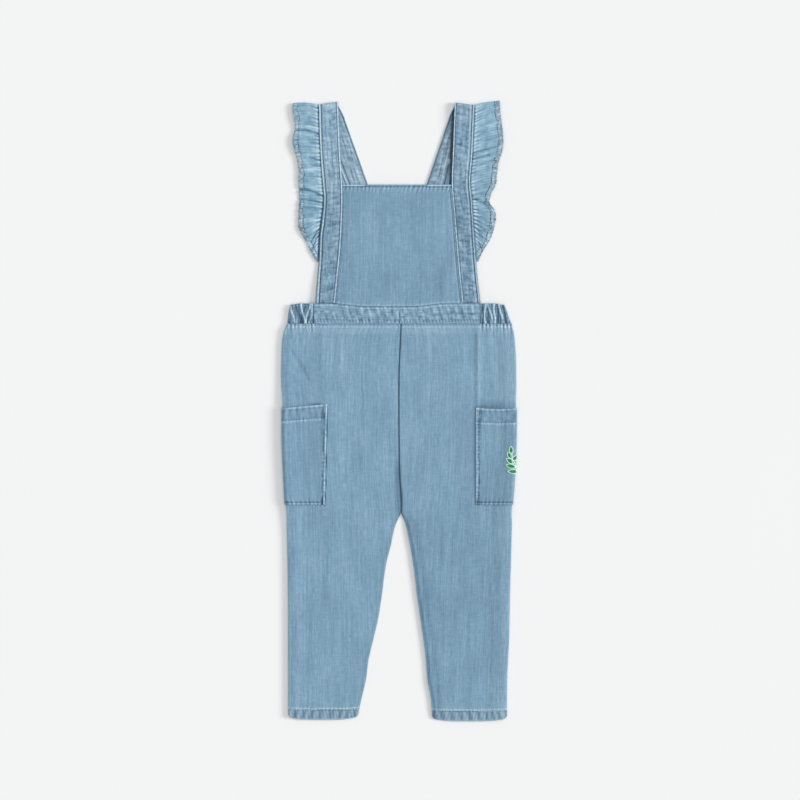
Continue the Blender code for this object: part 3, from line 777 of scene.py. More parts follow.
@dataclass(frozen=True)
class Stitches:
    """Lockstitching: one stitch modelled once, and copied along each line of a piece."""

    length: float = 2.3
    pitch: float = 3.0
    radius: float = 0.3
    sunk: float = 0.08      # underneath, the ground presses them into the cloth to this depth

    def one(self) -> tuple[Array, Array]:
        """Model one stitch along x.

        Returns:
            Its points and its triangles.
        """
        deselect_all()
        bpy.ops.mesh.primitive_uv_sphere_add(segments=6, ring_count=4, radius=self.radius)
        stitch = bpy.context.object
        bpy.ops.object.mode_set(mode="EDIT")
        bpy.ops.mesh.select_all(action="SELECT")
        bpy.ops.transform.rotate(value=math.pi / 2, orient_axis="Y", center_override=(0, 0, 0))
        bpy.ops.transform.resize(value=(self.length / 2 / self.radius, 1.0, 1.0), center_override=(0, 0, 0))
        bpy.ops.mesh.quads_convert_to_tris()
        bpy.ops.object.mode_set(mode="OBJECT")
        points = np.array([v.co for v in stitch.data.vertices], float)
        faces = np.array([tuple(face.vertices) for face in stitch.data.polygons], int)
        bpy.data.objects.remove(stitch, do_unlink=True)
        return points, faces

    def seats(self, path: Path) -> tuple[Array, Array, Array]:
        """Space stitches along a path.

        Args:
            path: Points and facings.

        Returns:
            The middle of each stitch, its direction and its facing.
        """
        points, facing = path
        runs = runs_along(points)
        count = max(2, int(runs[-1] / self.pitch))
        middles = (np.arange(count) + 0.5) * runs[-1] / count

        def read(values: Array, at: Array) -> Array:
            """Return values of the path at places along it."""
            return np.stack([np.interp(at, runs, column) for column in values.T], axis=1)

        ahead = read(points, middles + self.pitch / 3) - read(points, middles - self.pitch / 3)
        return read(points, middles), unit(ahead), read(facing, middles)

    def sew_along(self, name: str, paths: list[Path], finish: Material,
                  slot: Slot = Slot.THREAD) -> Piece:
        """Copy the stitch along paths, as one mesh.

        Args:
            name: Name of the piece.
            paths: Lines to sew along.
            finish: The thread's material.
            slot: Not used.

        Returns:
            The stitches as one piece.
        """
        points, faces = self.one()
        all_points = []
        for path in paths:
            middles, ahead, facing = self.seats(path)
            middles[:, 2] = np.maximum(middles[:, 2], self.radius - self.sunk)
            aside = unit(np.cross(facing, ahead))
            axes = np.stack([ahead, aside, np.cross(ahead, aside)], axis=1)
            placed = middles[:, None, :] + np.einsum("pk,skd->spd", points, axes)
            placed[..., 2] = np.maximum(placed[..., 2], -self.sunk)
            all_points.append(placed.reshape(-1, 3))
        places = np.concatenate(all_points)
        shifts = np.arange(0, len(places), len(points))
        all_faces = (faces + shifts[:, None, None]).reshape(-1, 3)
        mesh = bpy.data.meshes.new(name)
        mesh.from_pydata(to_metres(places).tolist(), [], all_faces.tolist())
        mesh.update()
        mesh.shade_smooth()
        mesh.materials.append(finish)
        piece = bpy.data.objects.new(name, mesh)
        bpy.context.scene.collection.objects.link(piece)
        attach(piece, "root")
        return piece


# ------------------------------------------------------------------------------ materials
def linear(code: str) -> Colour:
    """Convert an sRGB hex colour.

    Args:
        code: The colour, as # and six digits.

    Returns:
        Linear red, green, blue and alpha.
    """
    parts = [int(code[i:i + 2], 16) / 255 for i in (1, 3, 5)]
    red, green, blue = (p / 12.92 if p <= 0.04045 else ((p + 0.055) / 1.055) ** 2.4 for p in parts)
    return red, green, blue, 1.0


def tinted(colour: Colour, share: float) -> Colour:
    """Return a colour at a share of its brightness."""
    red, green, blue = (min(1.0, part * share) for part in colour[:3])
    return red, green, blue, 1.0


class Finish:
    """A material in the making: its node tree and its Principled shader."""

    def __init__(self, name: str) -> None:
        """Start an empty material.

        Args:
            name: Its name.
        """
        self.material = bpy.data.materials.new(name)
        self.material.use_nodes = True
        self.tree = self.material.node_tree
        self.tree.nodes.clear()
        self.shader = self.add("BsdfPrincipled")
        self.add("OutputMaterial", inputs={"Surface": self.shader.outputs["BSDF"]})

    def fill(self, node: bpy.types.Node, inputs: dict) -> None:
        """Set a node's inputs to values, or link them to sockets.

        Args:
            node: The node.
            inputs: A value or a socket for each input, by name or number.
        """
        for key, value in inputs.items():
            if isinstance(value, Socket):
                self.tree.links.new(value, node.inputs[key])
            else:
                node.inputs[key].default_value = value

    def add(self, kind: str, inputs: dict | None = None, **settings: object) -> bpy.types.Node:
        """Add a node.

        Args:
            kind: Its type, without the usual prefix.
            inputs: Its inputs, as for fill.
            settings: Its properties.

        Returns:
            The node.
        """
        node = self.tree.nodes.new("ShaderNode" + kind)
        for key, value in settings.items():
            setattr(node, key, value)
        self.fill(node, inputs or {})
        return node

    def attribute(self, name: str) -> Socket:
        """Read an attribute of the mesh."""
        return self.add("Attribute", attribute_name=name).outputs["Fac"]

    def times_plus(self, value: Socket, factor: float,
                   plus: Socket | float) -> Socket:
        """Return a value times a factor, plus another."""
        return self.add("Math", {0: value, 1: factor, 2: plus}, operation="MULTIPLY_ADD").outputs[0]

    def between(self, share: Socket, low: Colour, high: Colour) -> Socket:
        """Return a colour from low to high by a share."""
        return self.add("Mix", {0: share, 6: low, 7: high}, data_type="RGBA").outputs[2]

    def raised(self, height: Socket, strength: float, distance: float) -> Socket:
        """Return the normals of a relief, whose distance is in metres."""
        inputs = {"Height": height, "Strength": strength, "Distance": distance}
        return self.add("Bump", inputs).outputs["Normal"]

    def dress(self, inputs: dict) -> Material:
        """Set the shader's inputs, and return the finished material."""
        self.fill(self.shader, inputs)
        return self.material


@dataclass(frozen=True)
class DenimFinish:
    """Stone-washed indigo denim: cotton twill, garment-washed after sewing.

    The uneven warp gives it fine pale and dark streaks along the grain, and the weft fainter ones across.
    The wash leaves indigo in every valley and takes it off every raised seam, and the brushed cotton has a
    soft sheen and no gloss.  The mesh attribute that carries this wash carries painted shade and highlight
    too.
    """

    name: str
    deep: str = "#33495C"
    dark: str = "#58778E"
    body: str = "#7A9DB5"
    pale: str = "#A0BED0"
    bare: str = "#DCE9EF"
    streak: float = 2.2     # width of a slub in millimetres
    streak_run: float = 70.0
    mottle: float = 0.04    # share of the blotches that the wash leaves in doubled cloth
    rib: float = 0.75       # twill rib, drawn as coarse as it needs to show close up
    rib_slope: float = 28.0
    rib_share: float = 0.02
    wear_and_shade_share: float = 0.3
    dulling: float = 0.7    # how much colour the full dulling takes away

    def build(self) -> Material:
        """Build the denim.

        Returns:
            The material.
        """
        finish = Finish(self.name)
        grain = finish.add("UVMap", uv_map="grain").outputs["UV"]
        streaks = self.patches(finish, grain, self.streak, self.streak_run)
        slubs = self.patches(finish, grain, 1.2, 11.0)
        picks = self.patches(finish, grain, 13.0, 1.3)
        specks = self.patches(finish, grain, 0.8, 0.9, detail=0.0)
        wash = self.patches(finish, grain, 30.0, 55.0)
        blotches = self.patches(finish, grain, 3.4, 5.0)
        rib = self.twill(finish, grain)
        tone = self.sum_of(finish, 0.5, ((streaks, 0.17), (slubs, 0.16), (picks, 0.1), (specks, 0.12),
                                         (wash, 0.1), (blotches, self.mottle)))
        tone = finish.times_plus(rib, self.rib_share, tone)
        tone = finish.times_plus(finish.attribute("wear_and_shade"), self.wear_and_shade_share, tone)
        vivid = finish.times_plus(finish.attribute("dull"), -self.dulling, 1.0)
        colour = finish.add("HueSaturation", {"Color": self.ramp(finish, tone), "Saturation": vivid})
        relief = self.sum_of(finish, 0.0, ((slubs, 0.5), (specks, 0.6), (rib, 0.25)))
        rough = finish.add("MapRange", {"Value": specks, "To Min": 0.8, "To Max": 0.95})
        return finish.dress({
            "Base Color": colour.outputs["Color"], "Normal": finish.raised(relief, 0.5, 0.0002),
            "Roughness": rough.outputs["Result"], "Sheen Weight": 0.25, "Sheen Roughness": 0.5,
            "Specular IOR Level": 0.25,
        })

    def ramp(self, finish: Finish, tone: Socket) -> Socket:
        """Colour the wash, from deep indigo to bare cotton.

        Args:
            finish: The material in the making.
            tone: How pale each place is, from 0 to 1.

        Returns:
            The colour.
        """
        ramp = finish.add("ValToRGB", {"Fac": tone})
        stops = ((0.0, self.deep), (0.3, self.dark), (0.5, self.body), (0.7, self.pale), (1.0, self.bare))
        elements = ramp.color_ramp.elements
        while len(elements) < len(stops):
            elements.new(0.5)
        for element, (place, code) in zip(elements, stops):
            element.position = place
            element.color = linear(code)
        return ramp.outputs["Color"]

    def patches(self, finish: Finish, grain: Socket, across: float, along: float,
                detail: float = 1.0) -> Socket:
        """Stretch noise to patches of a size in millimetres.

        Args:
            finish: The material in the making.
            grain: Places along the grain.
            across: Size of a patch across the grain.
            along: Its size along it.
            detail: How rough the patches are.

        Returns:
            The noise, from 0 to 1.
        """
        scale = (GRAIN_UNIT / across, GRAIN_UNIT / along, 1.0)
        place = finish.add("Mapping", {"Scale": scale, "Vector": grain}).outputs["Vector"]
        inputs = {"Scale": 1.0, "Detail": detail, "Roughness": 0.6, "Vector": place}
        return finish.add("TexNoise", inputs, noise_dimensions="2D").outputs["Fac"]

    def twill(self, finish: Finish, grain: Socket) -> Socket:
        """Rib the cloth with the diagonals of the twill.

        Args:
            finish: The material in the making.
            grain: Places along the grain.

        Returns:
            The ribs, from -1 to 1.
        """
        turn = 2.0 * math.pi * GRAIN_UNIT / self.rib
        slope = math.radians(self.rib_slope)
        direction = (turn * math.cos(slope), -turn * math.sin(slope), 0.0)
        along = finish.add("VectorMath", {0: grain, 1: direction}, operation="DOT_PRODUCT")
        return finish.add("Math", {0: along.outputs["Value"]}, operation="SINE").outputs[0]

    def sum_of(self, finish: Finish, start: float,
               parts: tuple[tuple[Socket, float], ...]) -> Socket:
        """Add up shares of noises, each by its departure from a half.

        Args:
            finish: The material in the making.
            start: The sum where every noise is a half.
            parts: Each noise and its share.

        Returns:
            The sum.
        """
        total = start - sum(share for _, share in parts) / 2
        for socket, share in parts:
            total = finish.times_plus(socket, share, total)
        return total


@dataclass(frozen=True)
class ThreadFinish:
    """Spun polyester sewing thread: twisted plies with a slight satin gloss, and no lustre of silk."""

    name: str
    colour: str
    twist: float = 0.7      # one turn of the ply, in millimetres
    roughness: float = 0.5
    shadow: float = 0.72    # brightness between the plies
    shine: float = 1.25     # brightness on them

    def build(self) -> Material:
        """Build the thread.

        Returns:
            The material.
        """
        finish = Finish(self.name)
        place = finish.add("TexCoord").outputs["Object"]
        scaled = finish.add("Mapping", {"Scale": (1 / MM, 1 / MM, 1 / MM), "Vector": place}).outputs["Vector"]
        noise = finish.add("TexNoise", {"Scale": 1.0 / self.twist, "Detail": 1.0, "Vector": scaled})
        plies = noise.outputs["Fac"]
        shade = linear(self.colour)
        colour = finish.between(plies, tinted(shade, self.shadow), tinted(shade, self.shine))
        return finish.dress({"Base Color": colour, "Normal": finish.raised(plies, 0.4, 0.0001),
                             "Roughness": self.roughness, "Sheen Weight": 0.15})


@dataclass(frozen=True)
class Palette:
    """The finished materials of the garment."""

    panel: Material
    band: Material
    ruffle: Material
    thread: Material
    green: Material
    mint: Material

    @classmethod
    def mixed(cls) -> "Palette":
        """Build every material once.

        Returns:
            The finished materials.
        """
        return cls(
            panel=DenimFinish("washed_denim_panel").build(),
            band=DenimFinish("washed_denim_band", dark="#557389", body="#7C9CB4", streak_run=24.0,
                             mottle=0.16).build(),
            ruffle=DenimFinish("washed_denim_ruffle", dark="#638AA2", body="#87ABC1", pale="#B1CEDD",
                               streak_run=16.0, mottle=0.14).build(),
            thread=ThreadFinish("spun_polyester_thread", "#C9DCE6").build(),
            green=ThreadFinish("rayon_embroidery_green", "#0E8F4C", roughness=0.35).build(),
            mint=ThreadFinish("rayon_embroidery_mint", "#D0FFE6", roughness=0.35).build(),
        )


# ------------------------------------------------------------------------------ legs
@dataclass(frozen=True)
class LegForm:
    """One leg laid flat: its front rolls round the side and reaches a little way under."""

    side: Side
    fold_radius: float = 2.2
    fold_run: float = 22.0
    side_lip: float = 8.0
    crown: float = 0.8
    hem_depth: float = 14.0
    hem_lift: float = 0.4
    hem_corner: float = 2.6
    hem_round: float = 5.0
    hem_rise_run: float = 120.0
    waist_lift: float = 1.8
    waist_run: float = 45.0
    pocket_bottom: float = 259.6
    pocket_run: float = 24.0
    pocket_margin: float = 4.0
    slope_step: float = 0.05

    @property
    def quarter(self) -> float:
        """Length of cloth from the fold's top to its outermost."""
        return self.fold_radius * math.pi / 2

    def cover(self, height: Array, reach: Array | float) -> Array:
        """Find where the leg lies over a pocket's under layer.

        Args:
            height: Each place's height.
            reach: Its reach.

        Returns:
            1 over the layer, easing to 0 round it.
        """
        low = self.pocket_bottom - self.pocket_margin
        along = window(height, low, self.side.pocket.top + self.pocket_margin, self.pocket_run)
        inside = reach - self.side.pocket.inner + self.pocket_margin + self.pocket_run
        return along * ease(inside / self.pocket_run)

    def inner(self, height: Array) -> Array:
        """Return where a panel's inner edge runs."""
        return follow(self.side.leg, height, "inner") + SEAM_GAP / 2 + self.hem_inset(height)

    def fold_reach(self, height: Array) -> Array:
        """Return where the round of the side fold starts."""
        inset = LAYER_STEP * self.cover(height, self.side.leg[0].outer) + self.hem_inset(height)
        return follow(self.side.leg, height, "outer") - inset - CLOTH / 2 - self.fold_radius

    def front_z(self, height: Array, reach: Array) -> Array:
        """Work out the level of the front layer over the back layer.

        Args:
            height: Each place's height.
            reach: Its reach.

        Returns:
            The level of the front layer's middle.
        """
        inner = follow(self.side.leg, height, "inner")
        fold = self.fold_reach(height)
        share = np.clip((reach - inner) / (fold - inner), 0.0, 1.0)
        lying = CLOTH / 2 + LAYER_STEP + self.crown * np.sin(math.pi * share)
        lying = lying + self.waist_lift * ease((height - WAIST_SEAM + self.waist_run) / self.waist_run)
        lying = lying + self.hem_lift * ease((self.hem_depth + 2 - height) / 2)
        rolled = CLOTH / 2 + 2 * self.fold_radius
        return mix(lying, rolled, fade(fold - reach, self.fold_run)) + LAYER_STEP * self.cover(height, reach)

    def point(self, height: Array, along: Array) -> tuple[Array, Array]:
        """Place the leg's surface in its own section.

        Args:
            height: Each place's height.
            along: The cloth from the side fold to it, plus in front and minus behind.

        Returns:
            The place's reach and level.
        """
        fold = self.fold_reach(height)
        run = np.maximum(np.abs(along) - self.quarter, 0.0)
        angle = np.clip(along / self.fold_radius, -math.pi / 2, math.pi / 2)
        reach = fold - run + self.fold_radius * np.cos(angle)
        cover = LAYER_STEP * self.cover(height, np.minimum(reach, fold))
        round_z = CLOTH / 2 + self.fold_radius * (1 + np.sin(angle)) + cover
        return reach, np.where(along > self.quarter, self.front_z(height, reach), round_z)

    def surface(self, height: Array, along: Array, out: Array | float = 0.0) -> Array:
        """Place the leg's surface.

        Args:
            height: Each place's height.
            along: The cloth from the side fold to it.
            out: How far to move it out, square to the leg's section.

        Returns:
            Points of the garment.
        """
        reach, z = self.point(height, along)
        reach_up, z_up = self.point(height, along + self.slope_step)
        reach_down, z_down = self.point(height, along - self.slope_step)
        run, rise = reach_up - reach_down, z_up - z_down
        length = np.hypot(run, rise)
        return grid(self.side.sign * (reach + out * rise / length), height, z - out * run / length)

    def hem_inset(self, height: Array) -> Array:
        """Return how far the hem's two corners come in, to round them off."""
        below = np.clip(1 - height / self.hem_round, 0.0, 1.0)
        return self.hem_round * (1 - np.sqrt(1 - below ** 2))

    def draw_up(self, height: Array, share: Array) -> Array:
        """Return heights with the hem's two corners drawn up, for a share across the hem."""
        corners = self.hem_corner * np.abs(2 * share - 1) ** 4 * fade(height, 2 * self.hem_depth)
        return height + corners + self.side.hem_rise * fade(height, self.hem_rise_run)


@dataclass(frozen=True)
class Leg:
    """The front and back panels of one leg."""

    side: Side
    form: LegForm
    stitch: Stitches = Stitches()
    stitch_at: float = 14.4
    columns: int = 66
    back_columns: int = 36
    seam_run: float = 6.0
    front_wear_and_shade: tuple[float, float] = (-1.8, 1.4)
    back_wear_and_shade: tuple[float, float] = (-1.4, 1.2)
    band_dull: float = 0.15     # how far the hem's band is dulled

    def heights(self, hem_step: float, step: float, top: float, count: int) -> Array:
        """Return the rows' heights: close at the hem, wider up to a top, and a number of them above it."""
        return np.concatenate([np.arange(0.0, 20.0, hem_step), np.arange(20.0, top, step),
                               np.linspace(top, WAIST_SEAM - SEAM_GAP, count)])[:, None]

    def hem(self, relief: Relief, height: Array, place: Array, seed: float) -> None:
        """Press the turned hem: its stitch line, the roped band and the rolled edge.

        Args:
            relief: The panel's relief.
            height: Each place's height.
            place: How far across the leg it is.
            seed: Chooses the unevenness.
        """
        Seam(13.7, 11.6, seed, groove=0.4, half=1.15, pale=0.85, dark=0.75, pucker=0.22, pitch=4.6,
             spread=4.8, slant=0.2).sew(relief, height, place)
        rope = gathers(place + 0.25 * height, 9.7, seed + 3)
        rope = rope + 0.5 * gathers(place - 0.2 * height, 4.4, seed + 4)
        relief.press(rope * window(height, 2.4, 10.0, 2.2), lift=0.3, wear_and_shade=0.42)
        relief.press(window(height, -5.0, 11.0, 1.5), wear_and_shade=-0.2)
        relief.press(fade(height, 1.6), lift=-0.4)
        relief.press(fade(height, 2.6), wear_and_shade=0.5)

    def inseam(self, relief: Relief, height: Array, beside: Array) -> None:
        """Press the inner edge: the centre seam above the crotch and the loose inseam below it.

        Args:
            relief: The panel's relief.
            height: Each place's height.
            beside: How far from the inner edge it is.
        """
        side = self.side
        above = window(height, CROTCH, WAIST_SEAM, 14.0)
        below = 1 - above
        relief.press(above * fade(beside, 1.6), lift=-0.5)
        relief.press(below * fade(beside, 3.2), lift=-0.7)
        # Painted shade in the centre seam's groove and beside the inner edge, more on the right leg, whose
        # inner edge is turned from the key light.
        relief.press(above * fade(beside - 0.35, 1.05), wear_and_shade=-1.9)
        low = window(height, CROTCH + 4, 300.0, 16.0)
        relief.press(low * fade(beside - 0.8, side.inseam_shade), wear_and_shade=-0.6)
        tone, place, half = side.inseam_tone
        relief.press(below * bump(beside, place, half), wear_and_shade=tone)
        relief.press(below * window(beside, 4.0, 12.0, 3.0), wear_and_shade=side.inseam_band)
        loose = window(height, 24.0, 226.0, 22.0) * fade(beside, 9.0)
        relief.press(loose, lift=side.inseam_lift)

    def waist(self, relief: Relief, down: Array, reach: Array, seed: float) -> None:
        """Press the waist seam, and the gathers that the elastic draws up under it.

        Args:
            relief: The panel's relief.
            down: How far below the waist each place is.
            reach: Its reach.
            seed: Chooses the unevenness.
        """
        Seam(4.0, 0.7, seed + 7, ridge=0.3, groove=0.3, half=1.2, pale=0.65, dark=0.5, pucker=0.22,
             pitch=4.4, spread=8.0, slant=0.1, pucker_wear_and_shade=0.22).sew(relief, down, reach)
        relief.press(window(down, 6.0, 10.0, 4.0), wear_and_shade=0.15)
        gathered = ease((reach - self.side.band_start + 3) / 4)
        small = gathers(reach, 4.4, seed + 9)
        drawn = gathered * (small + 0.5 * gathers(reach + 0.2 * down, 8.5, seed + 12))
        relief.press(drawn * fade(down, 30), lift=0.75)
        relief.press(drawn * fade(down, 20), wear_and_shade=0.2)
        relief.press(np.maximum(small, -0.3) * gathered * fade(down - 2.0, 7.0), wear_and_shade=0.9)

    def pocket_shadow(self, relief: Relief, height: Array, reach: Array) -> None:
        """Paint the pocket's shadow onto the leg: a thin dark line round its edges, and shade above its
        mouth.

        Args:
            relief: The panel's relief.
            height: Each place's height.
            reach: Its reach.
        """
        size, low = self.side.pocket, self.form.pocket_bottom
        up = np.clip((height - low) / (size.top - low), 0.0, 1.0)
        edge = mix(size.low_inner, size.inner, up)
        inside = reach - edge
        share = np.clip(1 - inside / (self.form.fold_reach(height) - edge), 0, 1)
        over = height - size.top - size.slant * (share - 0.5) - 0.8
        within = ease((inside + 0.5) / 0.5)
        beside = bump(inside, -0.4, 1.1) * window(height, low, size.top + 2.0, 1.0)
        relief.press(beside, wear_and_shade=-size.front_dark)
        relief.press(bump(over, 0.0, 1.2) * within * ease(share / 0.6), wear_and_shade=-size.top_dark)
        relief.press(bump(height, low - 0.4, 1.1) * within, wear_and_shade=-0.7)
        relief.press(window(over, 0.0, 2.0, 9.0) * ease(inside / 6.0), wear_and_shade=-size.shade)
        drawn = gathers(reach, 3.2, 57.0) * window(height, low - 9.0, low, 3.0)
        relief.press(drawn * ease(inside / 2.0), wear_and_shade=0.22)

    def front_relief(self, height: Array, reach: Array, along: Array) -> Relief:
        """Work out the relief of the front panel.

        Args:
            height: Each place's height.
            reach: Its reach.
            along: The cloth from the side fold to it.

        Returns:
            The panel's relief.
        """
        side, seed = self.side, 11.0 + self.side.sign
        relief = Relief()
        self.hem(relief, height, reach, seed)
        # Creases: paler ridges are partly wear, and darker troughs are painted shade.
        for crease in side.creases:
            relief.press(crease.form(height, reach, (0.12, 0.88), 0.3), crease.lift, crease.wear_and_shade)
        self.inseam(relief, height, reach - follow(side.leg, height, "inner"))
        self.waist(relief, WAIST_SEAM - height, reach, seed)
        relief.press(uneven(reach, height, 17.0, 95.0, seed), lift=0.22)
        relief.press(uneven(reach, height, 8.0, 34.0, seed + 1), lift=0.07)
        relief.lift = relief.lift * ease(along / self.form.quarter)
        # Painted light and shade along the side fold.
        for tone in side.fold_shading:
            relief.press(fade(along - tone.start, tone.run), wear_and_shade=tone.wear_and_shade)
        relief.press(window(height, 60.0, 235.0, 50.0), wear_and_shade=-side.low_dark)
        self.pocket_shadow(relief, height, reach)
        return relief

    def front(self, finish: Material) -> tuple[Piece, Sheet]:
        """Sew the front panel.

        Args:
            finish: Its material.

        Returns:
            The panel and its sheet.
        """
        form, side = self.form, self.side
        heights = self.heights(0.8, 3.0, 432.0, 45)
        start = form.fold_reach(heights) - form.inner(heights) + form.quarter
        near = form.quarter + form.fold_run
        rolled = stretches((near, form.quarter, 17), (form.quarter, -form.quarter, 11),
                           (-form.quarter, -form.quarter - form.side_lip, 6))
        along = np.concatenate([
            start - np.linspace(0, self.seam_run, 13)[:-1],
            mix(start - self.seam_run, near, np.linspace(0, 1, self.columns)[:-1]),
            np.broadcast_to(rolled, (len(heights), len(rolled))),
        ], axis=1)
        reach, _ = form.point(heights, along)
        relief = self.front_relief(heights, reach, along)
        points = form.surface(heights, along, relief.lift)
        height = form.draw_up(heights, np.clip(1 - along / along[:, :1], 0.0, 1.0))
        points[..., 1] = height
        dull = self.band_dull * window(heights, -5.0, 12.0, 2.5)
        sheet = Sheet(points, grid(side.sign * along, height), np.clip(relief.wear_and_shade, *self.front_wear_and_shade), dull)
        name = f"front_leg_{side.name}"
        return cut(name, sheet, WALL, finish), sheet

    def back(self, finish: Material) -> tuple[Piece, Sheet]:
        """Sew the back panel, flat on the floor.

        Args:
            finish: Its material.

        Returns:
            The panel and its sheet.
        """
        form, side = self.form, self.side
        heights = self.heights(1.6, 4.0, 460.0, 6)
        inner = form.inner(heights)
        outer = form.fold_reach(heights) - form.side_lip - SEAM_GAP
        share = np.linspace(0, 1, self.back_columns)
        reach = mix(inner, outer, share)
        relief = Relief()
        self.hem(relief, heights, reach, 31.0 + side.sign)
        relief.press(fade(reach - inner, 2.0), wear_and_shade=-0.4)
        relief.press(fade(outer - reach, 2.0), wear_and_shade=-0.3)
        below = 1 - window(heights, CROTCH, WAIST_SEAM, 14.0)
        curl = 0.35 * below * fade(reach - inner, 3.0)
        z = WALL / 2 + LAYER_STEP * form.cover(heights, reach) + curl + 0.25 * np.maximum(relief.lift, 0)
        height = form.draw_up(heights, share)
        sheet = Sheet(grid(side.sign * reach, height, z), grid(side.sign * (reach + 300), height),
                      np.clip(relief.wear_and_shade, *self.back_wear_and_shade))
        return cut(f"back_leg_{side.name}", sheet, WALL, finish), sheet

    def build(self, palette: Palette) -> list[Piece]:
        """Build both panels and their hem stitching.

        Args:
            palette: The finished materials.

        Returns:
            The front, the back and the stitching.
        """
        front, sheet = self.front(palette.panel)
        back, under = self.back(palette.panel)
        line = sheet.line_above(self.stitch_at, first=1.0, end=self.form.side_lip + self.form.quarter)
        hidden = under.line_above(self.stitch_at, first=1.0, end=1.0)
        paths = [sheet.path(line, WALL / 2 + 0.12), under.path(hidden, WALL / 2 + 0.05, under=True)]
        thread = self.stitch.sew_along(f"hem_stitches_{self.side.name}", paths, palette.thread)
        return [front, back, thread]


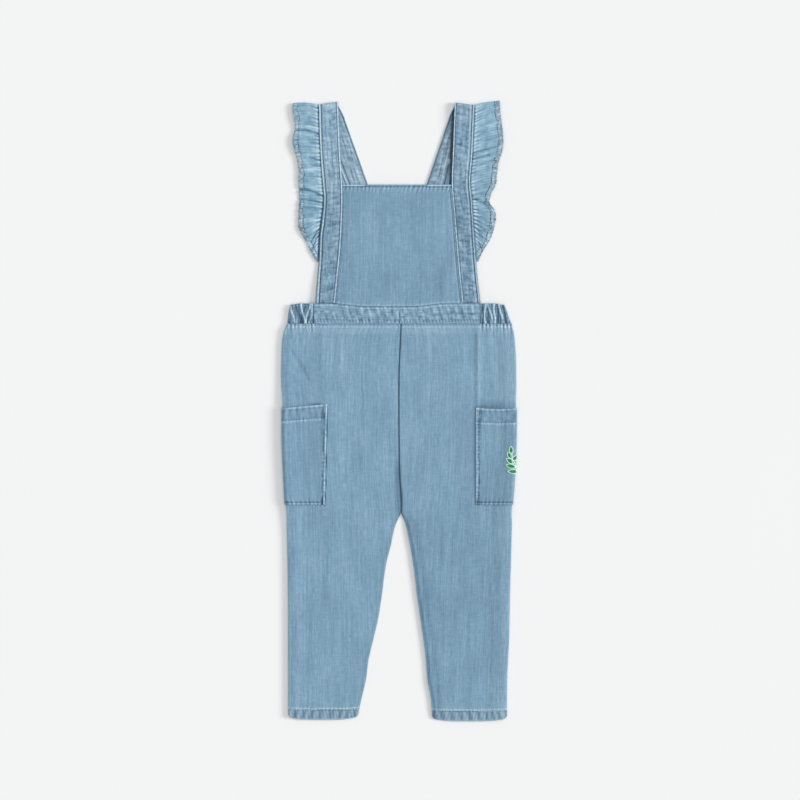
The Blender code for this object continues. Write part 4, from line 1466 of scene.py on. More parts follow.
# ------------------------------------------------------------------------------ pockets
@dataclass(frozen=True)
class Pocket:
    """A patch pocket, wrapped round the side fold from front to back."""

    side: Side
    form: LegForm
    stitch: Stitches = Stitches(length=2.1, radius=0.22)
    tack: Stitches = Stitches(length=2.1, radius=0.22, pitch=2.4)
    gape: float = 1.4
    gape_run: float = 16.0
    step: float = 1.15
    edge_stitch_at: float = 1.3
    tack_width: float = 9.0
    tack_rows: int = 9
    tack_step: float = 0.9      # in rows of the sheet
    wear_and_shade_range: tuple[float, float] = (-1.4, 1.3)

    def width(self, height: Array) -> Array:
        """Measure the cloth in front of the side fold.

        Args:
            height: Each place's height.

        Returns:
            The cloth from the fold to the front edge.
        """
        size = self.side.pocket
        up = (height - self.form.pocket_bottom) / (size.top - self.form.pocket_bottom)
        return self.form.fold_reach(height) - mix(size.low_inner, size.inner, up) + self.form.quarter

    def relief(self, height: Array, along: Array, width: Array) -> Relief:
        """Work out the relief of the turned and stitched edges.

        Args:
            height: Each place's height.
            along: The cloth from the side fold to it.
            width: The cloth from the side fold to the edge.

        Returns:
            The pocket's relief.
        """
        size, seed = self.side.pocket, 51.0 + self.side.sign
        beside = width - np.abs(along)
        from_top, from_bottom = size.top - height, height - self.form.pocket_bottom
        relief = Relief(wear_and_shade=-0.1)
        size.edge.sew(relief, beside, height)
        Seam(size.hem + 0.8, size.hem - 1.4, seed + 2, ridge=0.3, groove=0.3, half=1.2, pale=0.75, dark=0.5,
             pitch=3.8, slant=0.05, pucker_wear_and_shade=0.45).sew(relief, from_top, along)
        Seam(1.4, 3.4, seed + 3, ridge=0.2, groove=0.2, half=1.2, pale=0.9, dark=0.25, pitch=6.5, spread=9.0,
             slant=0.15, pucker_wear_and_shade=0.25).sew(relief, from_top, along)
        Seam(0.9, 3.0, seed + 4, groove=0.3, half=1.4, pale=0.5, dark=1.15, pucker=0.3, pitch=5.0, spread=7.0,
             slant=0.1, pucker_wear_and_shade=0.5).sew(relief, from_bottom, along)
        mottle = uneven(along, height, 4.5, 3.5, seed + 8)
        band = window(from_top, 3.5, size.hem - 3.0, 2.0)
        relief.press(band, wear_and_shade=0.22 * gathers(along + 0.1 * height, 8.0, seed + 7) + 0.2 * mottle - 0.06)
        doubled = window(beside, 3.0, 6.0, 1.6) * ease((from_bottom - 20.0) / 70.0)
        relief.press(doubled, wear_and_shade=-0.16 - 0.2 * mottle)
        corner = fade(beside - 1.5, 3.5) * fade(from_bottom - 1.5, 12.0)
        relief.press(corner * ease((beside - 1.4) / 0.6), wear_and_shade=-1.7)
        # Painted shade along the pocket's rim.
        relief.press(fade(beside, 0.7), wear_and_shade=-size.rim_dark)
        tacked = window(beside, 2.6, 5.6, 1.2) * window(from_top, 0.5, 17.0, 2.0)
        relief.press(tacked, wear_and_shade=-size.tack_dark - 0.5 * uneven(along, height, 2.2, 2.4, seed + 9))
        relief.press(fade(beside, 0.9) + fade(from_bottom, 0.9), lift=-0.35)
        relief.press(fade(from_bottom, 0.8), wear_and_shade=-0.6)
        relief.press(uneven(along, height, 13.0, 42.0, seed + 5), lift=0.22)
        return relief

    def build(self, palette: Palette) -> list[Piece]:
        """Build the pocket and its stitching.

        Args:
            palette: The finished materials.

        Returns:
            The pocket, its stitching and its bartack.
        """
        side, form, size = self.side, self.form, self.side.pocket
        length = size.top - form.pocket_bottom
        heights = np.linspace(form.pocket_bottom, size.top, int(length / self.step))[:, None]
        width = self.width(heights)
        near = stretches((0.0, 9.0, 20), (9.0, 50.0, 34))[:-1] / 50.0
        rolled = np.broadcast_to(np.linspace(form.quarter, -form.quarter, 13), (len(heights), 13))
        under = mix(-form.quarter, -width, np.linspace(0.0, 1.0, 22)[1:])
        along = np.concatenate([mix(width, form.quarter, near), rolled, under], axis=1)
        relief = self.relief(heights, along, width)
        front = np.clip(along / width, 0.0, 1.0)
        bow = np.sin(math.pi * front)
        gape = self.gape * ease((heights - size.top + self.gape_run) / self.gape_run) * bow
        pressed = relief.lift * ease((along + form.quarter + 2) / 4)
        up = (heights - form.pocket_bottom) / length
        height = heights + size.slant * (front - 0.5) * up - size.sag * up ** 4 * bow
        sheet = Sheet(form.surface(height, along, LAYER_STEP + gape + pressed),
                      grid(side.sign * (along + 170), height + 37.0), np.clip(relief.wear_and_shade, *self.wear_and_shade_range))
        piece = cut(f"pocket_{side.name}", sheet, WALL, palette.panel)
        lines = [sheet.line_beside(self.edge_stitch_at),
                 sheet.line_above(size.hem, last=True, first=7.0, end=1.0)]
        paths = [sheet.path(line, WALL / 2 + THREAD_OUT) for line in lines]
        thread = self.stitch.sew_along(f"pocket_stitches_{side.name}", paths, palette.thread)
        rows = len(heights) - 1.5 - self.tack_step * np.arange(self.tack_rows)
        tacks = [sheet.path(np.array([[row, 0.6], [row, self.tack_width]]), WALL / 2 + 0.25) for row in rows]
        tack = self.tack.sew_along(f"bartack_{side.name}", tacks + self.upper_tack(), palette.thread)
        return [piece, thread, tack]

    def upper_tack(self) -> list[Path]:
        """Run the bartack on above the pocket's front corner, onto the leg.

        Returns:
            Its rows of stitches.
        """
        size = self.side.pocket
        along = float(self.width(np.array(size.top))) - np.array([0.4, 5.6])
        heights = size.top + size.slant / 2 + np.array([0.9, 1.9, 2.9, 3.9])
        return [(self.form.surface(height, along, WALL / 2 + THREAD_OUT), np.tile([0.0, 0.0, 1.0], (2, 1)))
                for height in heights]


# ------------------------------------------------------------------------------ waistband
def waist_top(x: Array) -> Array:
    """Return the height of the waistband's upper edge, which sags a little near the middle."""
    return WAIST_TOP - WAIST_DIP * fade(np.abs(x - WAIST_DIP_AT) - WAIST_DIP_HALF, WAIST_DIP_RUN)


def waist_sag(x: Array, heights: Array, run: float) -> Array:
    """Return how far cloth that is sewn to the waistband follows its sag, over a run above it."""
    return (waist_top(x) - WAIST_TOP + SEAM_GAP) * fade(heights - WAIST_TOP, run)


@dataclass(frozen=True)
class Waistband:
    """A flat middle in front, elastic gathered ends round both sides, and a plain back."""

    stitch: Stitches = Stitches()
    front_z: float = 4.1
    solid_end_wall: float = 1.6
    wall: float = 1.5
    end_wall: float = 1.2
    fullness: float = 1.15
    top_run: float = 8.0        # the ends' tops fall from the middle's over this much
    wear_and_shade_range: tuple[float, float] = (-1.4, 1.2)
    scallop: tuple[float, float] = (-0.8, 0.4)

    @property
    def radius(self) -> float:
        """Radius of the ends' side folds."""
        return (self.front_z - self.solid_end_wall / 2) / 2

    def across(self, columns: int) -> Array:
        """Return places across the middle, from end to end."""
        return np.linspace(-LEFT.band_start + SEAM_GAP / 2, RIGHT.band_start - SEAM_GAP / 2, columns)[None, :]

    def front_relief(self, x: Array, from_top: Array, from_bottom: Array) -> Relief:
        """Work out the roped relief of the flat middle.

        Args:
            x: Places across the garment.
            from_top: How far below the upper edge each one is.
            from_bottom: How far above the lower edge it is.

        Returns:
            The middle's relief.
        """
        relief = Relief()
        Seam(2.0, 0.2, 71.0, ridge=0.2, groove=0.2, half=1.1, pale=0.3, dark=0.7, pucker=0.15, pitch=6.0,
             slant=-0.4, pucker_wear_and_shade=0.25).sew(relief, from_top, x)
        Seam(1.8, 4.2, 72.0, ridge=0.12, groove=0.3, half=1.5, pale=-0.25, dark=0.5, pucker=0.28, pitch=3.8,
             spread=5.5, pucker_wear_and_shade=0.5).sew(relief, from_bottom, x)
        relief.press(bump(from_bottom, 0.2, 1.0), wear_and_shade=0.4)
        lean = 0.3 + 0.35 * uneven(x, 0.0, 34.0, 1.0, 76.0)
        rope = gathers(x - lean * from_top, 9.5, 73.0) + 0.55 * gathers(x - 0.7 * lean * from_top, 4.6, 74.0)
        rope = rope * (0.55 + 0.45 * uneven(x, from_top, 22.0, 7.0, 75.0))
        mottle = uneven(x, from_top, 4.2, 3.2, 77.0) + 0.6 * uneven(x, from_top, 2.2, 5.0, 78.0)
        middle = window(from_top, 3.0, 17.0, 4.0)
        relief.press(rope * middle, lift=0.4, wear_and_shade=0.42)
        relief.press(mottle * middle, lift=0.12, wear_and_shade=0.34)
        lower = ease((from_top - 3.0) / 4.0)
        relief.press(bump(from_top, 12.0, 2.6) * window(x, 46.0, 90.0, 14.0), lift=-0.4, wear_and_shade=-0.4)
        # Painted shade in the centre seam's groove, and a painted highlight beside it.
        relief.press(bump(x, 0.4, 1.3) * lower, lift=-0.9, wear_and_shade=-1.0)
        relief.press(bump(x, -2.2, 1.8) * lower, lift=0.3, wear_and_shade=0.35)
        return relief

    def front(self, palette: Palette) -> tuple[Piece, Sheet]:
        """Sew the flat middle.

        Args:
            palette: The finished materials.

        Returns:
            The middle and its sheet.
        """
        x = self.across(226)
        height = mix(WAIST_SEAM, waist_top(x), np.linspace(0, 1, 39)[:, None])
        relief = self.front_relief(x, waist_top(x) - height, height - WAIST_SEAM)
        sheet = Sheet(grid(x, height, self.front_z + relief.lift), grid(height, x + 500),
                      np.clip(relief.wear_and_shade, *self.wear_and_shade_range))
        return cut("waistband_front", sheet, self.wall, palette.band), sheet

    def end_relief(self, side: Side, reach: Array, from_bottom: Array, share: Array) -> Relief:
        """Work out the relief of one gathered end.

        Args:
            side: Whose end it is.
            reach: Each place's reach.
            from_bottom: How far above the lower edge it is.
            share: Its share of the way up.

        Returns:
            The end's relief.
        """
        # The ends are darker all over, and their folds have pale crests and dark valleys: partly the wash,
        # partly painted highlight and shade.
        relief = Relief(wear_and_shade=-0.42)
        for fold in side.elastic:
            middle = mix(fold.low, fold.top, share) + 0.9 * np.sin(5.0 * share + fold.top)
            ridge = fold.rise * bump(reach, middle, 0.85 * fold.half_width)
            relief.press(ridge, lift=1.0, wear_and_shade=1.4 if fold.rise > 0 else 1.0)
        seed = 81.0 + side.sign
        crossed = gathers(reach + 5.0 * share, 4.7, seed)
        crossed = crossed + 0.8 * gathers(reach - 6.0 * share, 4.0, seed + 4.0)
        relief.press(crossed * fade(from_bottom - 1.0, 8.0), lift=0.3, wear_and_shade=0.5)
        relief.press(crossed * ease((share - 0.72) / 0.28), lift=0.2, wear_and_shade=0.35)
        strokes = np.maximum(gathers(reach + 0.8 * share, 3.9, seed + 6.0), -0.2)
        relief.press(strokes * fade(from_bottom - 2.0, 9.0), lift=-0.3, wear_and_shade=-1.15)
        relief.press(gathers(reach - 2.0 * share, 2.6, seed + 2.0), wear_and_shade=0.3)
        return relief

    def end(self, side: Side, palette: Palette) -> tuple[Piece, Sheet]:
        """Sew one elastic end.

        Args:
            side: Whose end it is.
            palette: The finished materials.

        Returns:
            The end and its sheet.
        """
        share = np.linspace(0, 1, 38)[:, None]
        end_top = side.band[-1].height
        fold = follow(side.band, mix(WAIST_SEAM, end_top, share)) - self.solid_end_wall / 2 - self.radius
        width = fold - side.band_start - SEAM_GAP / 2
        front = np.linspace(1, 0, 64)
        arc = np.linspace(math.pi / 2, -math.pi / 2, 12)[1:]
        under = np.linspace(0, 1, 14)[1:]
        back_z = self.front_z - 2 * self.radius
        reach = np.concatenate([fold - width * front, fold + self.radius * np.cos(arc), fold - width * under],
                               axis=1)
        z = np.concatenate([0 * front + self.front_z, back_z + self.radius * (1 + np.sin(arc)),
                            0 * under + back_z])
        from_fold = np.concatenate([front, 0 * arc, under])
        top = mix(end_top, WAIST_TOP, ease(from_fold * width / self.top_run))
        height = mix(WAIST_SEAM, top, share)
        relief = self.end_relief(side, reach, height - WAIST_SEAM, share)
        shown = np.concatenate([window(front, 0.06, 0.97, 0.06), np.cos(arc / 2 - math.pi / 4) ** 4 * 0.5,
                                0 * under])
        wear_and_shade = relief.wear_and_shade * np.concatenate([0 * front + 1, 0 * arc + 0.6, 0 * under])
        lift = relief.lift * shown
        scallop = np.clip(0.5 * lift * ease((share - 0.8) / 0.2), *self.scallop)
        points = grid(side.sign * reach, height + scallop, z)
        run = runs_along(grid(reach[0], z))
        sheet = Sheet(points, grid(height, side.sign * run + 700), np.clip(wear_and_shade, *self.wear_and_shade_range))
        sheet.raise_by(lift)
        piece = cut(f"waistband_side_{side.name}", sheet, self.end_wall, palette.band)
        return piece, sheet

    def back(self, palette: Palette) -> Piece:
        """Sew the plain back, flat on the floor.

        Args:
            palette: The finished materials.

        Returns:
            The back.
        """
        x = self.across(90)
        height = np.linspace(WAIST_SEAM, WAIST_TOP, 12)[:, None]
        relief = Relief()
        relief.press(gathers(x - 0.3 * height, 9.0, 91.0), wear_and_shade=0.15)
        relief.press(bump(height, WAIST_TOP - 1, 2.5) + bump(height, WAIST_SEAM + 1, 2.5), wear_and_shade=0.3)
        sheet = Sheet(grid(x, height, self.wall / 2), grid(height, x + 900), relief.wear_and_shade)
        return cut("waistband_back", sheet, self.wall, palette.band)

    def build(self, palette: Palette) -> list[Piece]:
        """Build the whole waistband and its stitching.

        Args:
            palette: The finished materials.

        Returns:
            Its four pieces and the stitching.
        """
        front, sheet = self.front(palette)
        made = [front]
        paths = [sheet.path(sheet.line_above(2.4, last=True), self.wall / 2 + 0.05)]
        for side in (LEFT, RIGHT):
            end, gathered = self.end(side, palette)
            made.append(end)
            paths.append(gathered.path(gathered.line_above(1.9, last=True)[:-26], self.end_wall / 2))
        made.append(self.back(palette))
        made.append(self.stitch.sew_along("waistband_stitches", paths, palette.thread))
        return made


# ------------------------------------------------------------------------------ bib
@dataclass(frozen=True)
class Bib:
    """The front bib, between the straps, with a turned and stitched top."""

    stitch: Stitches = Stitches(length=2.0, radius=0.18)
    hem: float = 4.8
    step: float = 1.15
    sag_run: float = 14.0
    edge_share: float = 0.035   # share of the width at each edge where the columns are close
    wear_and_shade_range: tuple[float, float] = (-1.4, 1.3)

    def relief(self, x: Array, height: Array, left: Array, right: Array) -> Relief:
        """Work out the relief of the bib.

        Args:
            x: Places across the garment.
            height: Their heights.
            left: Where the left edge runs.
            right: Where the right edge runs.

        Returns:
            The bib's relief.
        """
        from_top, from_waist = BIB_TOP - height, height - waist_top(x)
        relief = Relief(wear_and_shade=-0.05)
        Seam(4.0, 2.1, 101.0, ridge=0.2, groove=0.3, half=1.15, pale=0.05, dark=0.95, pucker=0.2, pitch=4.9,
             slant=0.1, pucker_wear_and_shade=0.4).sew(relief, from_top, x)
        Seam(self.hem + 2.4, self.hem - 0.8, 102.0, ridge=0.2, groove=0.2, half=2.0, pale=0.15, dark=0.0,
             pucker=0.3, pitch=4.9, spread=6.0, slant=0.2).sew(relief, from_top, x)
        ends = 1 - window(x, -40.0, 33.0, 3.0)
        relief.press(ends * bump(from_top, 0.8, 1.2), wear_and_shade=1.7)
        relief.press(ends * bump(from_top, 2.8, 1.0), wear_and_shade=-0.5)
        # Painted shadow beside the straps' edges, where they lie on the bib.
        sides = ((x - left, 103.0, 0.2, 0.35, 0.1), (right - x, 104.0, 2.1, 0.75, 0.35))
        for edge, seed, dark_at, dark, pale in sides:
            relief.press(fade(edge, 1.5), lift=-0.5)
            relief.press(bump(edge, dark_at, 1.1), wear_and_shade=-dark)
            relief.press(bump(edge, 3.6, 1.5), wear_and_shade=pale)
            relief.press(gathers(height + 0.6 * edge, 6.4, seed) * fade(edge, 7.0), lift=0.14, wear_and_shade=0.12)
        relief.press(fade(x - left - 3.0, 6.0), wear_and_shade=-0.18)
        relief.press(fade(from_waist, 1.6), lift=-0.6)
        relief.press(gathers(x - 0.2 * height, 5.4, 105.0) * fade(from_waist, 9.0), lift=0.2, wear_and_shade=0.18)
        relief.press(fade(from_waist, 0.6), wear_and_shade=-0.6)
        relief.press(bump(from_waist, 1.9, 1.2), wear_and_shade=0.6)
        inside = ease((x - left) / 12) * ease((right - x) / 12)
        relief.press(inside * uneven(x + 0.35 * height, height, 24.0, 60.0, 106.0), lift=0.42)
        relief.press(inside * uneven(x, height, 9.0, 40.0, 107.0), lift=0.12)
        return relief

    def build(self, palette: Palette) -> list[Piece]:
        """Build the bib and its stitching.

        Args:
            palette: The finished materials.

        Returns:
            The bib and its stitching.
        """
        heights = np.linspace(WAIST_TOP, BIB_TOP, int((BIB_TOP - WAIST_TOP) / self.step))[:, None]
        left = SEAM_GAP - follow(LEFT.strap, heights, "inner")
        right = follow(RIGHT.strap, heights, "inner") - SEAM_GAP
        near = self.edge_share
        x = mix(left, right, stretches((0.0, near, 9), (near, 1 - near, 114), (1 - near, 1.0, 9)))
        height = heights + waist_sag(x, heights, self.sag_run)
        relief = self.relief(x, height, left, right)
        sheet = Sheet(grid(x, height, follow(BIB_LEVEL, heights) + relief.lift), grid(x + 1100, height),
                      np.clip(relief.wear_and_shade, *self.wear_and_shade_range))
        piece = cut("bib", sheet, WALL, palette.panel)
        path = sheet.path(sheet.line_above(self.hem, last=True, first=0.5, end=0.5), WALL / 2 + THREAD_OUT)
        return [piece, self.stitch.sew_along("bib_stitches", [path], palette.thread)]


# ------------------------------------------------------------------------------ straps
@dataclass(frozen=True)
class Strap:
    """A doubled strap: up beside the bib, over the shoulder, and down inwards to the back waistband."""

    side: Side
    stitch: Stitches = Stitches(length=2.2, radius=0.2)
    wall: float = 1.4
    solid_wall: float = 1.6
    shoulder_radius: float = 2.6
    turn_rows: int = 13
    crossing_top: float = 566.0
    crossing_low: float = 542.0
    flare_run: float = 95.0
    back_spread: float = 1.8
    spread_run: float = 14.0
    sag_run: float = 14.0
    wear_and_shade_range: tuple[float, float] = (-1.7, 1.3)
    grain_stretch: float = 2.2      # the strap's slubs are this much shorter than a panel's

    def shoulder(self, across: Array | float) -> Array:
        """Return the height of the axis that the strap folds round."""
        edge = mix(self.side.shoulder_inner, self.side.shoulder_outer, across)
        return edge - self.shoulder_radius - self.solid_wall / 2

    def back_slant(self) -> float:
        """Work out how the back run slants.

        Returns:
            How far it comes inwards for each step down.
        """
        rows = self.side.strap
        middle = float(follow(rows, LENGTH, "inner") + follow(rows, LENGTH, "outer")) / 2
        return (middle - self.side.back_end) / (float(self.shoulder(0.5)) - WAIST_TOP)

    def back_shift(self, down: Array) -> Array:
        """Return how far the outer edge lies outwards behind: it slants in and flares going down."""
        return self.side.back_flare * ease(down / self.flare_run) - self.back_slant() * down

    def edges(self, from_inner: Array, from_outer: Array, inset: Array, run: Array) -> Relief:
        """Work out the relief of the two stitched edges.

        Args:
            from_inner: How far from the inner edge each place is.
            from_outer: How far from the outer edge it is.
            inset: How far in from the outer edge its seam runs.
            run: How far along the strap it is.

        Returns:
            The edges' relief.
        """
        side, relief = self.side, Relief()
        side.outer_seam.sew(relief, from_outer - inset, run)
        side.inner_seam.sew(relief, from_inner, run)
        relief.press(bump(from_outer - inset, 4.2, 1.2), wear_and_shade=side.inside_pale)
        # Painted shadow in the gap between the outer edge and the ruffle.
        relief.press(fade(from_outer, 1.1) * ease(inset / 0.8), wear_and_shade=-1.3)
        relief.press(fade(run, 1.6), wear_and_shade=-0.9)
        return relief

    def body(self, from_inner: Array, width: Array, run: Array) -> Relief:
        """Work out the relief of the doubled cloth between the seams.

        Args:
            from_inner: How far from the inner edge each place is.
            width: The strap's width there.
            run: How far along the strap it is.

        Returns:
            The body's relief.
        """
        seed, relief = 121.0 + self.side.sign, Relief()
        body = window(from_inner, 3.6, 17.4, 1.6)
        hatch = uneven(from_inner, run, 1.5, 8.0, seed + 3) + uneven(from_inner, run, 6.0, 1.7, seed + 7)
        near_seams = 1 - 0.75 * bump(from_inner, width / 2, 5.0)
        cross = gathers(run + 0.25 * from_inner, 6.6, seed + 4) * near_seams
        rib = gathers(from_inner + 0.8 * uneven(run, 0.0, 19.0, 1.0, seed + 6), 5.4, seed + 5)
        relief.press(body * uneven(from_inner, run, 4.6, 6.4, seed + 2), lift=0.1, wear_and_shade=0.26)
        relief.press(body * hatch, wear_and_shade=0.3)
        relief.press(body * cross, lift=0.14, wear_and_shade=0.2)
        relief.press(body * rib * ease((run - 90.0) / 40.0), lift=0.1, wear_and_shade=0.16)
        return relief

    def behind(self, height: Array, reach: Array, from_inner: Array) -> Relief:
        """Work out the tone, and the painted shade and crease lines, of the part that shows behind.

        Args:
            height: Each place's height.
            reach: Its reach.
            from_inner: How far from the inner edge it is.

        Returns:
            Its relief, which is a change of colour alone.
        """
        relief = Relief(wear_and_shade=self.side.back_tone)
        # Painted shadow and crease lines on the back run.
        for line in self.side.back_shade_lines:
            relief.press(line.form(height, reach, (-0.3, 0.98), 0.06), wear_and_shade=line.wear_and_shade)
        relief.press(bump(from_inner, 1.3, 1.4), wear_and_shade=-0.9)
        return relief

    def front_run(self, across: Array) -> Array:
        """Lay the front, up beside the bib to the shoulder.

        Args:
            across: Shares of the way from the inner edge to the outer.

        Returns:
            Reach, height and level of its points.
        """
        side = self.side
        beside = np.broadcast_to(np.linspace(WAIST_TOP, BIB_TOP, 150)[:, None], (150, len(across)))
        above = mix(BIB_TOP, self.shoulder(across), np.linspace(0, 1, 104)[1:, None])
        heights = np.concatenate([beside, above])
        reach = mix(follow(side.strap, heights, "inner"), follow(side.strap, heights, "outer"), across)
        z = mix(follow(STRAP_INNER_LEVEL, heights), follow(STRAP_OUTER_LEVEL, heights), across)
        return grid(reach, heights + waist_sag(reach, heights, self.sag_run), z)

    def shoulder_run(self, across: Array, reach: Array) -> Array:
        """Turn the strap over the shoulder.

        Args:
            across: Each column's share of the way to the outer edge.
            reach: Its reach.

        Returns:
            Reach, height and level of the turn.
        """
        angle = np.radians(np.linspace(0, 180, self.turn_rows + 2)[1:-1])[:, None]
        z = self.solid_wall / 2 + self.shoulder_radius * (1 + np.cos(angle))
        return grid(reach, self.shoulder(across) + self.shoulder_radius * np.sin(angle), z)

    def back_run(self, across: Array, reach: Array) -> Array:
        """Lay the back, down inwards from the shoulder to the back waistband.

        Args:
            across: Shares of the way from the inner edge to the outer.
            reach: Reach at the shoulder.

        Returns:
            Reach, height and level of its points.
        """
        height = mix(self.shoulder(across), WAIST_TOP + SEAM_GAP, np.linspace(0, 1, 150)[:, None])
        down = self.shoulder(across) - height
        inner_shift = -self.back_slant() * down - self.back_spread * ease(down / self.spread_run)
        climb = ease((self.crossing_top - height) / (self.crossing_top - self.crossing_low))
        z = self.solid_wall / 2 + (self.solid_wall + SEAM_GAP) * climb * self.side.lifted
        return grid(reach + mix(inner_shift, self.back_shift(down), across), height, z)

    def build(self, palette: Palette) -> list[Piece]:
        """Build the strap and its edge stitching.

        Args:
            palette: The finished materials.

        Returns:
            The strap and its stitching.
        """
        side = self.side
        across = stretches((0.0, 0.2, 13), (0.2, 0.8, 20), (0.8, 1.0, 13))
        front = self.front_run(across)
        reach = front[-1, :, 0]
        points = np.concatenate([front, self.shoulder_run(across, reach), self.back_run(across, reach)])
        turn = len(front) + self.turn_rows
        reach, height = points[..., 0].copy(), points[..., 1]
        points[..., 0] = side.sign * reach
        run = runs_along(points[:, len(across) // 2])[:, None]
        width = np.abs(reach[:, -1:] - reach[:, :1])
        from_inner = across * width
        edges = self.edges(from_inner, width - from_inner, follow(side.seam_inset, height), run)
        body = self.body(from_inner, width, run)
        under = np.arange(len(points))[:, None] > turn
        front_wear_and_shade = edges.wear_and_shade + follow(side.strap_tone, height)
        wear_and_shade = body.wear_and_shade + np.where(under, self.behind(height, reach, from_inner).wear_and_shade, front_wear_and_shade)
        dull = 0.04 + 0.12 * under + 0.1 * uneven(from_inner, run, 9.0, 14.0, 131.0 + side.sign)
        grain = grid(side.sign * from_inner + 1300, self.grain_stretch * run)
        sheet = Sheet(points, grain, np.clip(wear_and_shade, *self.wear_and_shade_range), dull)
        sheet.raise_by(np.where(under, -0.5, 1.0) * (body.lift + edges.lift), self.wall / 2 + 0.02)
        piece = cut(f"strap_{side.name}", sheet, self.wall, palette.band)
        paths = []
        for last, away in ((False, 0.8), (True, side.sewn_at)):
            paths.append(sheet.path(sheet.line_beside(away, last, 2, turn - 2), self.wall / 2 + THREAD_OUT))
            paths.append(sheet.path(sheet.line_beside(2.2, last, turn), self.wall / 2 - THREAD_OUT))
        return [piece, self.stitch.sew_along(f"strap_stitches_{side.name}", paths, palette.thread)]


# ------------------------------------------------------------------------------ ruffles
@dataclass(frozen=True)
class Ruffle:
    """A gathered, hemmed strip in the outer edge of a strap, over the shoulder and a little way down."""

    side: Side
    strap: Strap
    stitch: Stitches = Stitches()
    foot: float = 551.0
    back_length: float = 70.0
    back_width: float = 27.0
    loft: float = 1.4
    pitch: float = 7.6
    fine_pitch: float = 4.3
    hem: float = 5.2
    wall: float = 0.8
    fullness: float = 1.5
    top_run: float = 60.0
    turn_rows: int = 11
    wear_and_shade_range: tuple[float, float] = (-1.5, 1.3)

    def front_z(self, height: Array, width: Array, across: Array) -> Array:
        """Work out the level of the front, with its broad waves.

        Args:
            height: Each place's height.
            width: How wide the ruffle is there.
            across: The place's share of the way to the hem.

        Returns:
            The level of the ruffle's middle.
        """
        root = follow(STRAP_OUTER_LEVEL, height) - 0.2
        hem = CLOTH / 2 + LAYER_STEP * ease((height - 646) / 18) + self.loft
        settle = ease(across * 1.25)
        lobes = sum(lobe.rise * bump(height, lobe.height, lobe.half_width) for lobe in self.side.lobes)
        return mix(root, hem, settle) + settle * lobes * ease(width / 20)

    def gathered(self, relief: Relief, place: Array, out: Array, across: Array, size: Array) -> None:
        """Press the gathers, wash the blotches into the ruffle, and paint shade into the slots between the
        gathers.

        Args:
            relief: The ruffle's relief.
            place: How far along the gathers each place is.
            out: How far from the strap's seam it is.
            across: Its share of the way to the hem.
            size: How full the ruffle is there.
        """
        seed = 141.0 + self.side.sign
        near = size * ease(out / 2.0 + 0.25)
        small = gathers(place, self.fine_pitch, seed + 1)
        broad = gathers(place, self.pitch, seed) * (1 - 0.7 * ease(across * 1.3 - 0.15))
        threads = gathers(place, 3.1, seed + 2) * window(across, 0.12, 0.78, 0.12)
        mottle = uneven(place, out, 4.2, 6.5, seed + 10) + 0.7 * uneven(place, out, 9.0, 4.0, seed + 11)
        reached = 5.0 + 3.5 * uneven(place, 0.0, 5.5, 1.0, seed + 8)
        strength = np.maximum(0.9 + 1.8 * uneven(place, 0.0, 11.0, 1.0, seed + 9), 0.0)
        slots = np.maximum(-small - 0.15, 0) * fade(out - 1.0, reached)
        relief.press(near * broad, lift=0.42, wear_and_shade=0.15)
        relief.press(near * small * fade(out - 2.0, 11.0), lift=0.4, wear_and_shade=0.5)
        relief.press(size * threads, lift=0.1, wear_and_shade=0.16)
        relief.press(size * mottle, wear_and_shade=0.26)
        # Painted shade in the slots between the gathers.
        relief.press(size * slots, wear_and_shade=-strength)

    def hemmed(self, relief: Relief, height: Array, from_hem: Array, size: Array) -> None:
        """Press the turned and frayed hem.

        Args:
            relief: The ruffle's relief.
            height: Each place's height.
            from_hem: How far from the hem it is.
            size: How full the ruffle is there.
        """
        seed = 141.0 + self.side.sign
        Seam(self.hem - 2.2, self.hem + 0.3, seed + 3, ridge=0.18, groove=0.28, pale=0.2, dark=1.6, pitch=4.0,
             spread=4.0, slant=0.0, pucker_wear_and_shade=0.3, wander=0.8).sew(relief, from_hem, height, size)
        relief.press(bump(from_hem, 0.2, 1.3) * (0.7 + gathers(height, 3.6, seed + 7)), wear_and_shade=-0.45)
        relief.press(fade(from_hem - self.hem, 1.5), wear_and_shade=-0.16)
        frayed = fade(from_hem - self.hem + 1.2, 1.5)
        relief.press(frayed * uneven(height, from_hem, 2.4, 1.9, seed + 12), wear_and_shade=0.6)

    def relief(self, height: Array, width: Array, across: Array) -> Relief:
        """Work out the gathers, the folds and the hem.

        Args:
            height: Each place's height.
            width: How wide the ruffle is there.
            across: The place's share of the way to the hem.

        Returns:
            The ruffle's relief.
        """
        side, size, out, relief = self.side, ease(width / 16), across * width, Relief()
        place = height - follow(side.ruffle, height, "slant") * out * (1 - 0.35 * across)
        self.gathered(relief, place, out, across, size)
        for fold in side.folds:
            middle = mix(fold.hem_height, fold.seam_height, (1 - across) ** 2)
            ridge = bump(height, middle, fold.half_width) * window(across, fold.start, fold.end, 0.12)
            # Painted shade in the folds' troughs and painted highlight on their crests.
            relief.press(ridge, fold.rise, 1.3 * fold.wear_and_shade)
        self.hemmed(relief, height, width - out, size)
        relief.press(bump(out, 3.0, 2.2) * size, wear_and_shade=0.4)
        # Painted shadow in the gap and the join at the ruffle's root.
        root_run = mix(1.9, 1.2, ease((height - 600.0) / 20.0))
        relief.press(fade(out - 0.3, root_run), wear_and_shade=follow(side.root_dark, height))
        low = fade(height - 596.0, 34.0)
        relief.wear_and_shade = relief.wear_and_shade * (1 + 0.3 * low) - side.foot_dark * low
        return relief

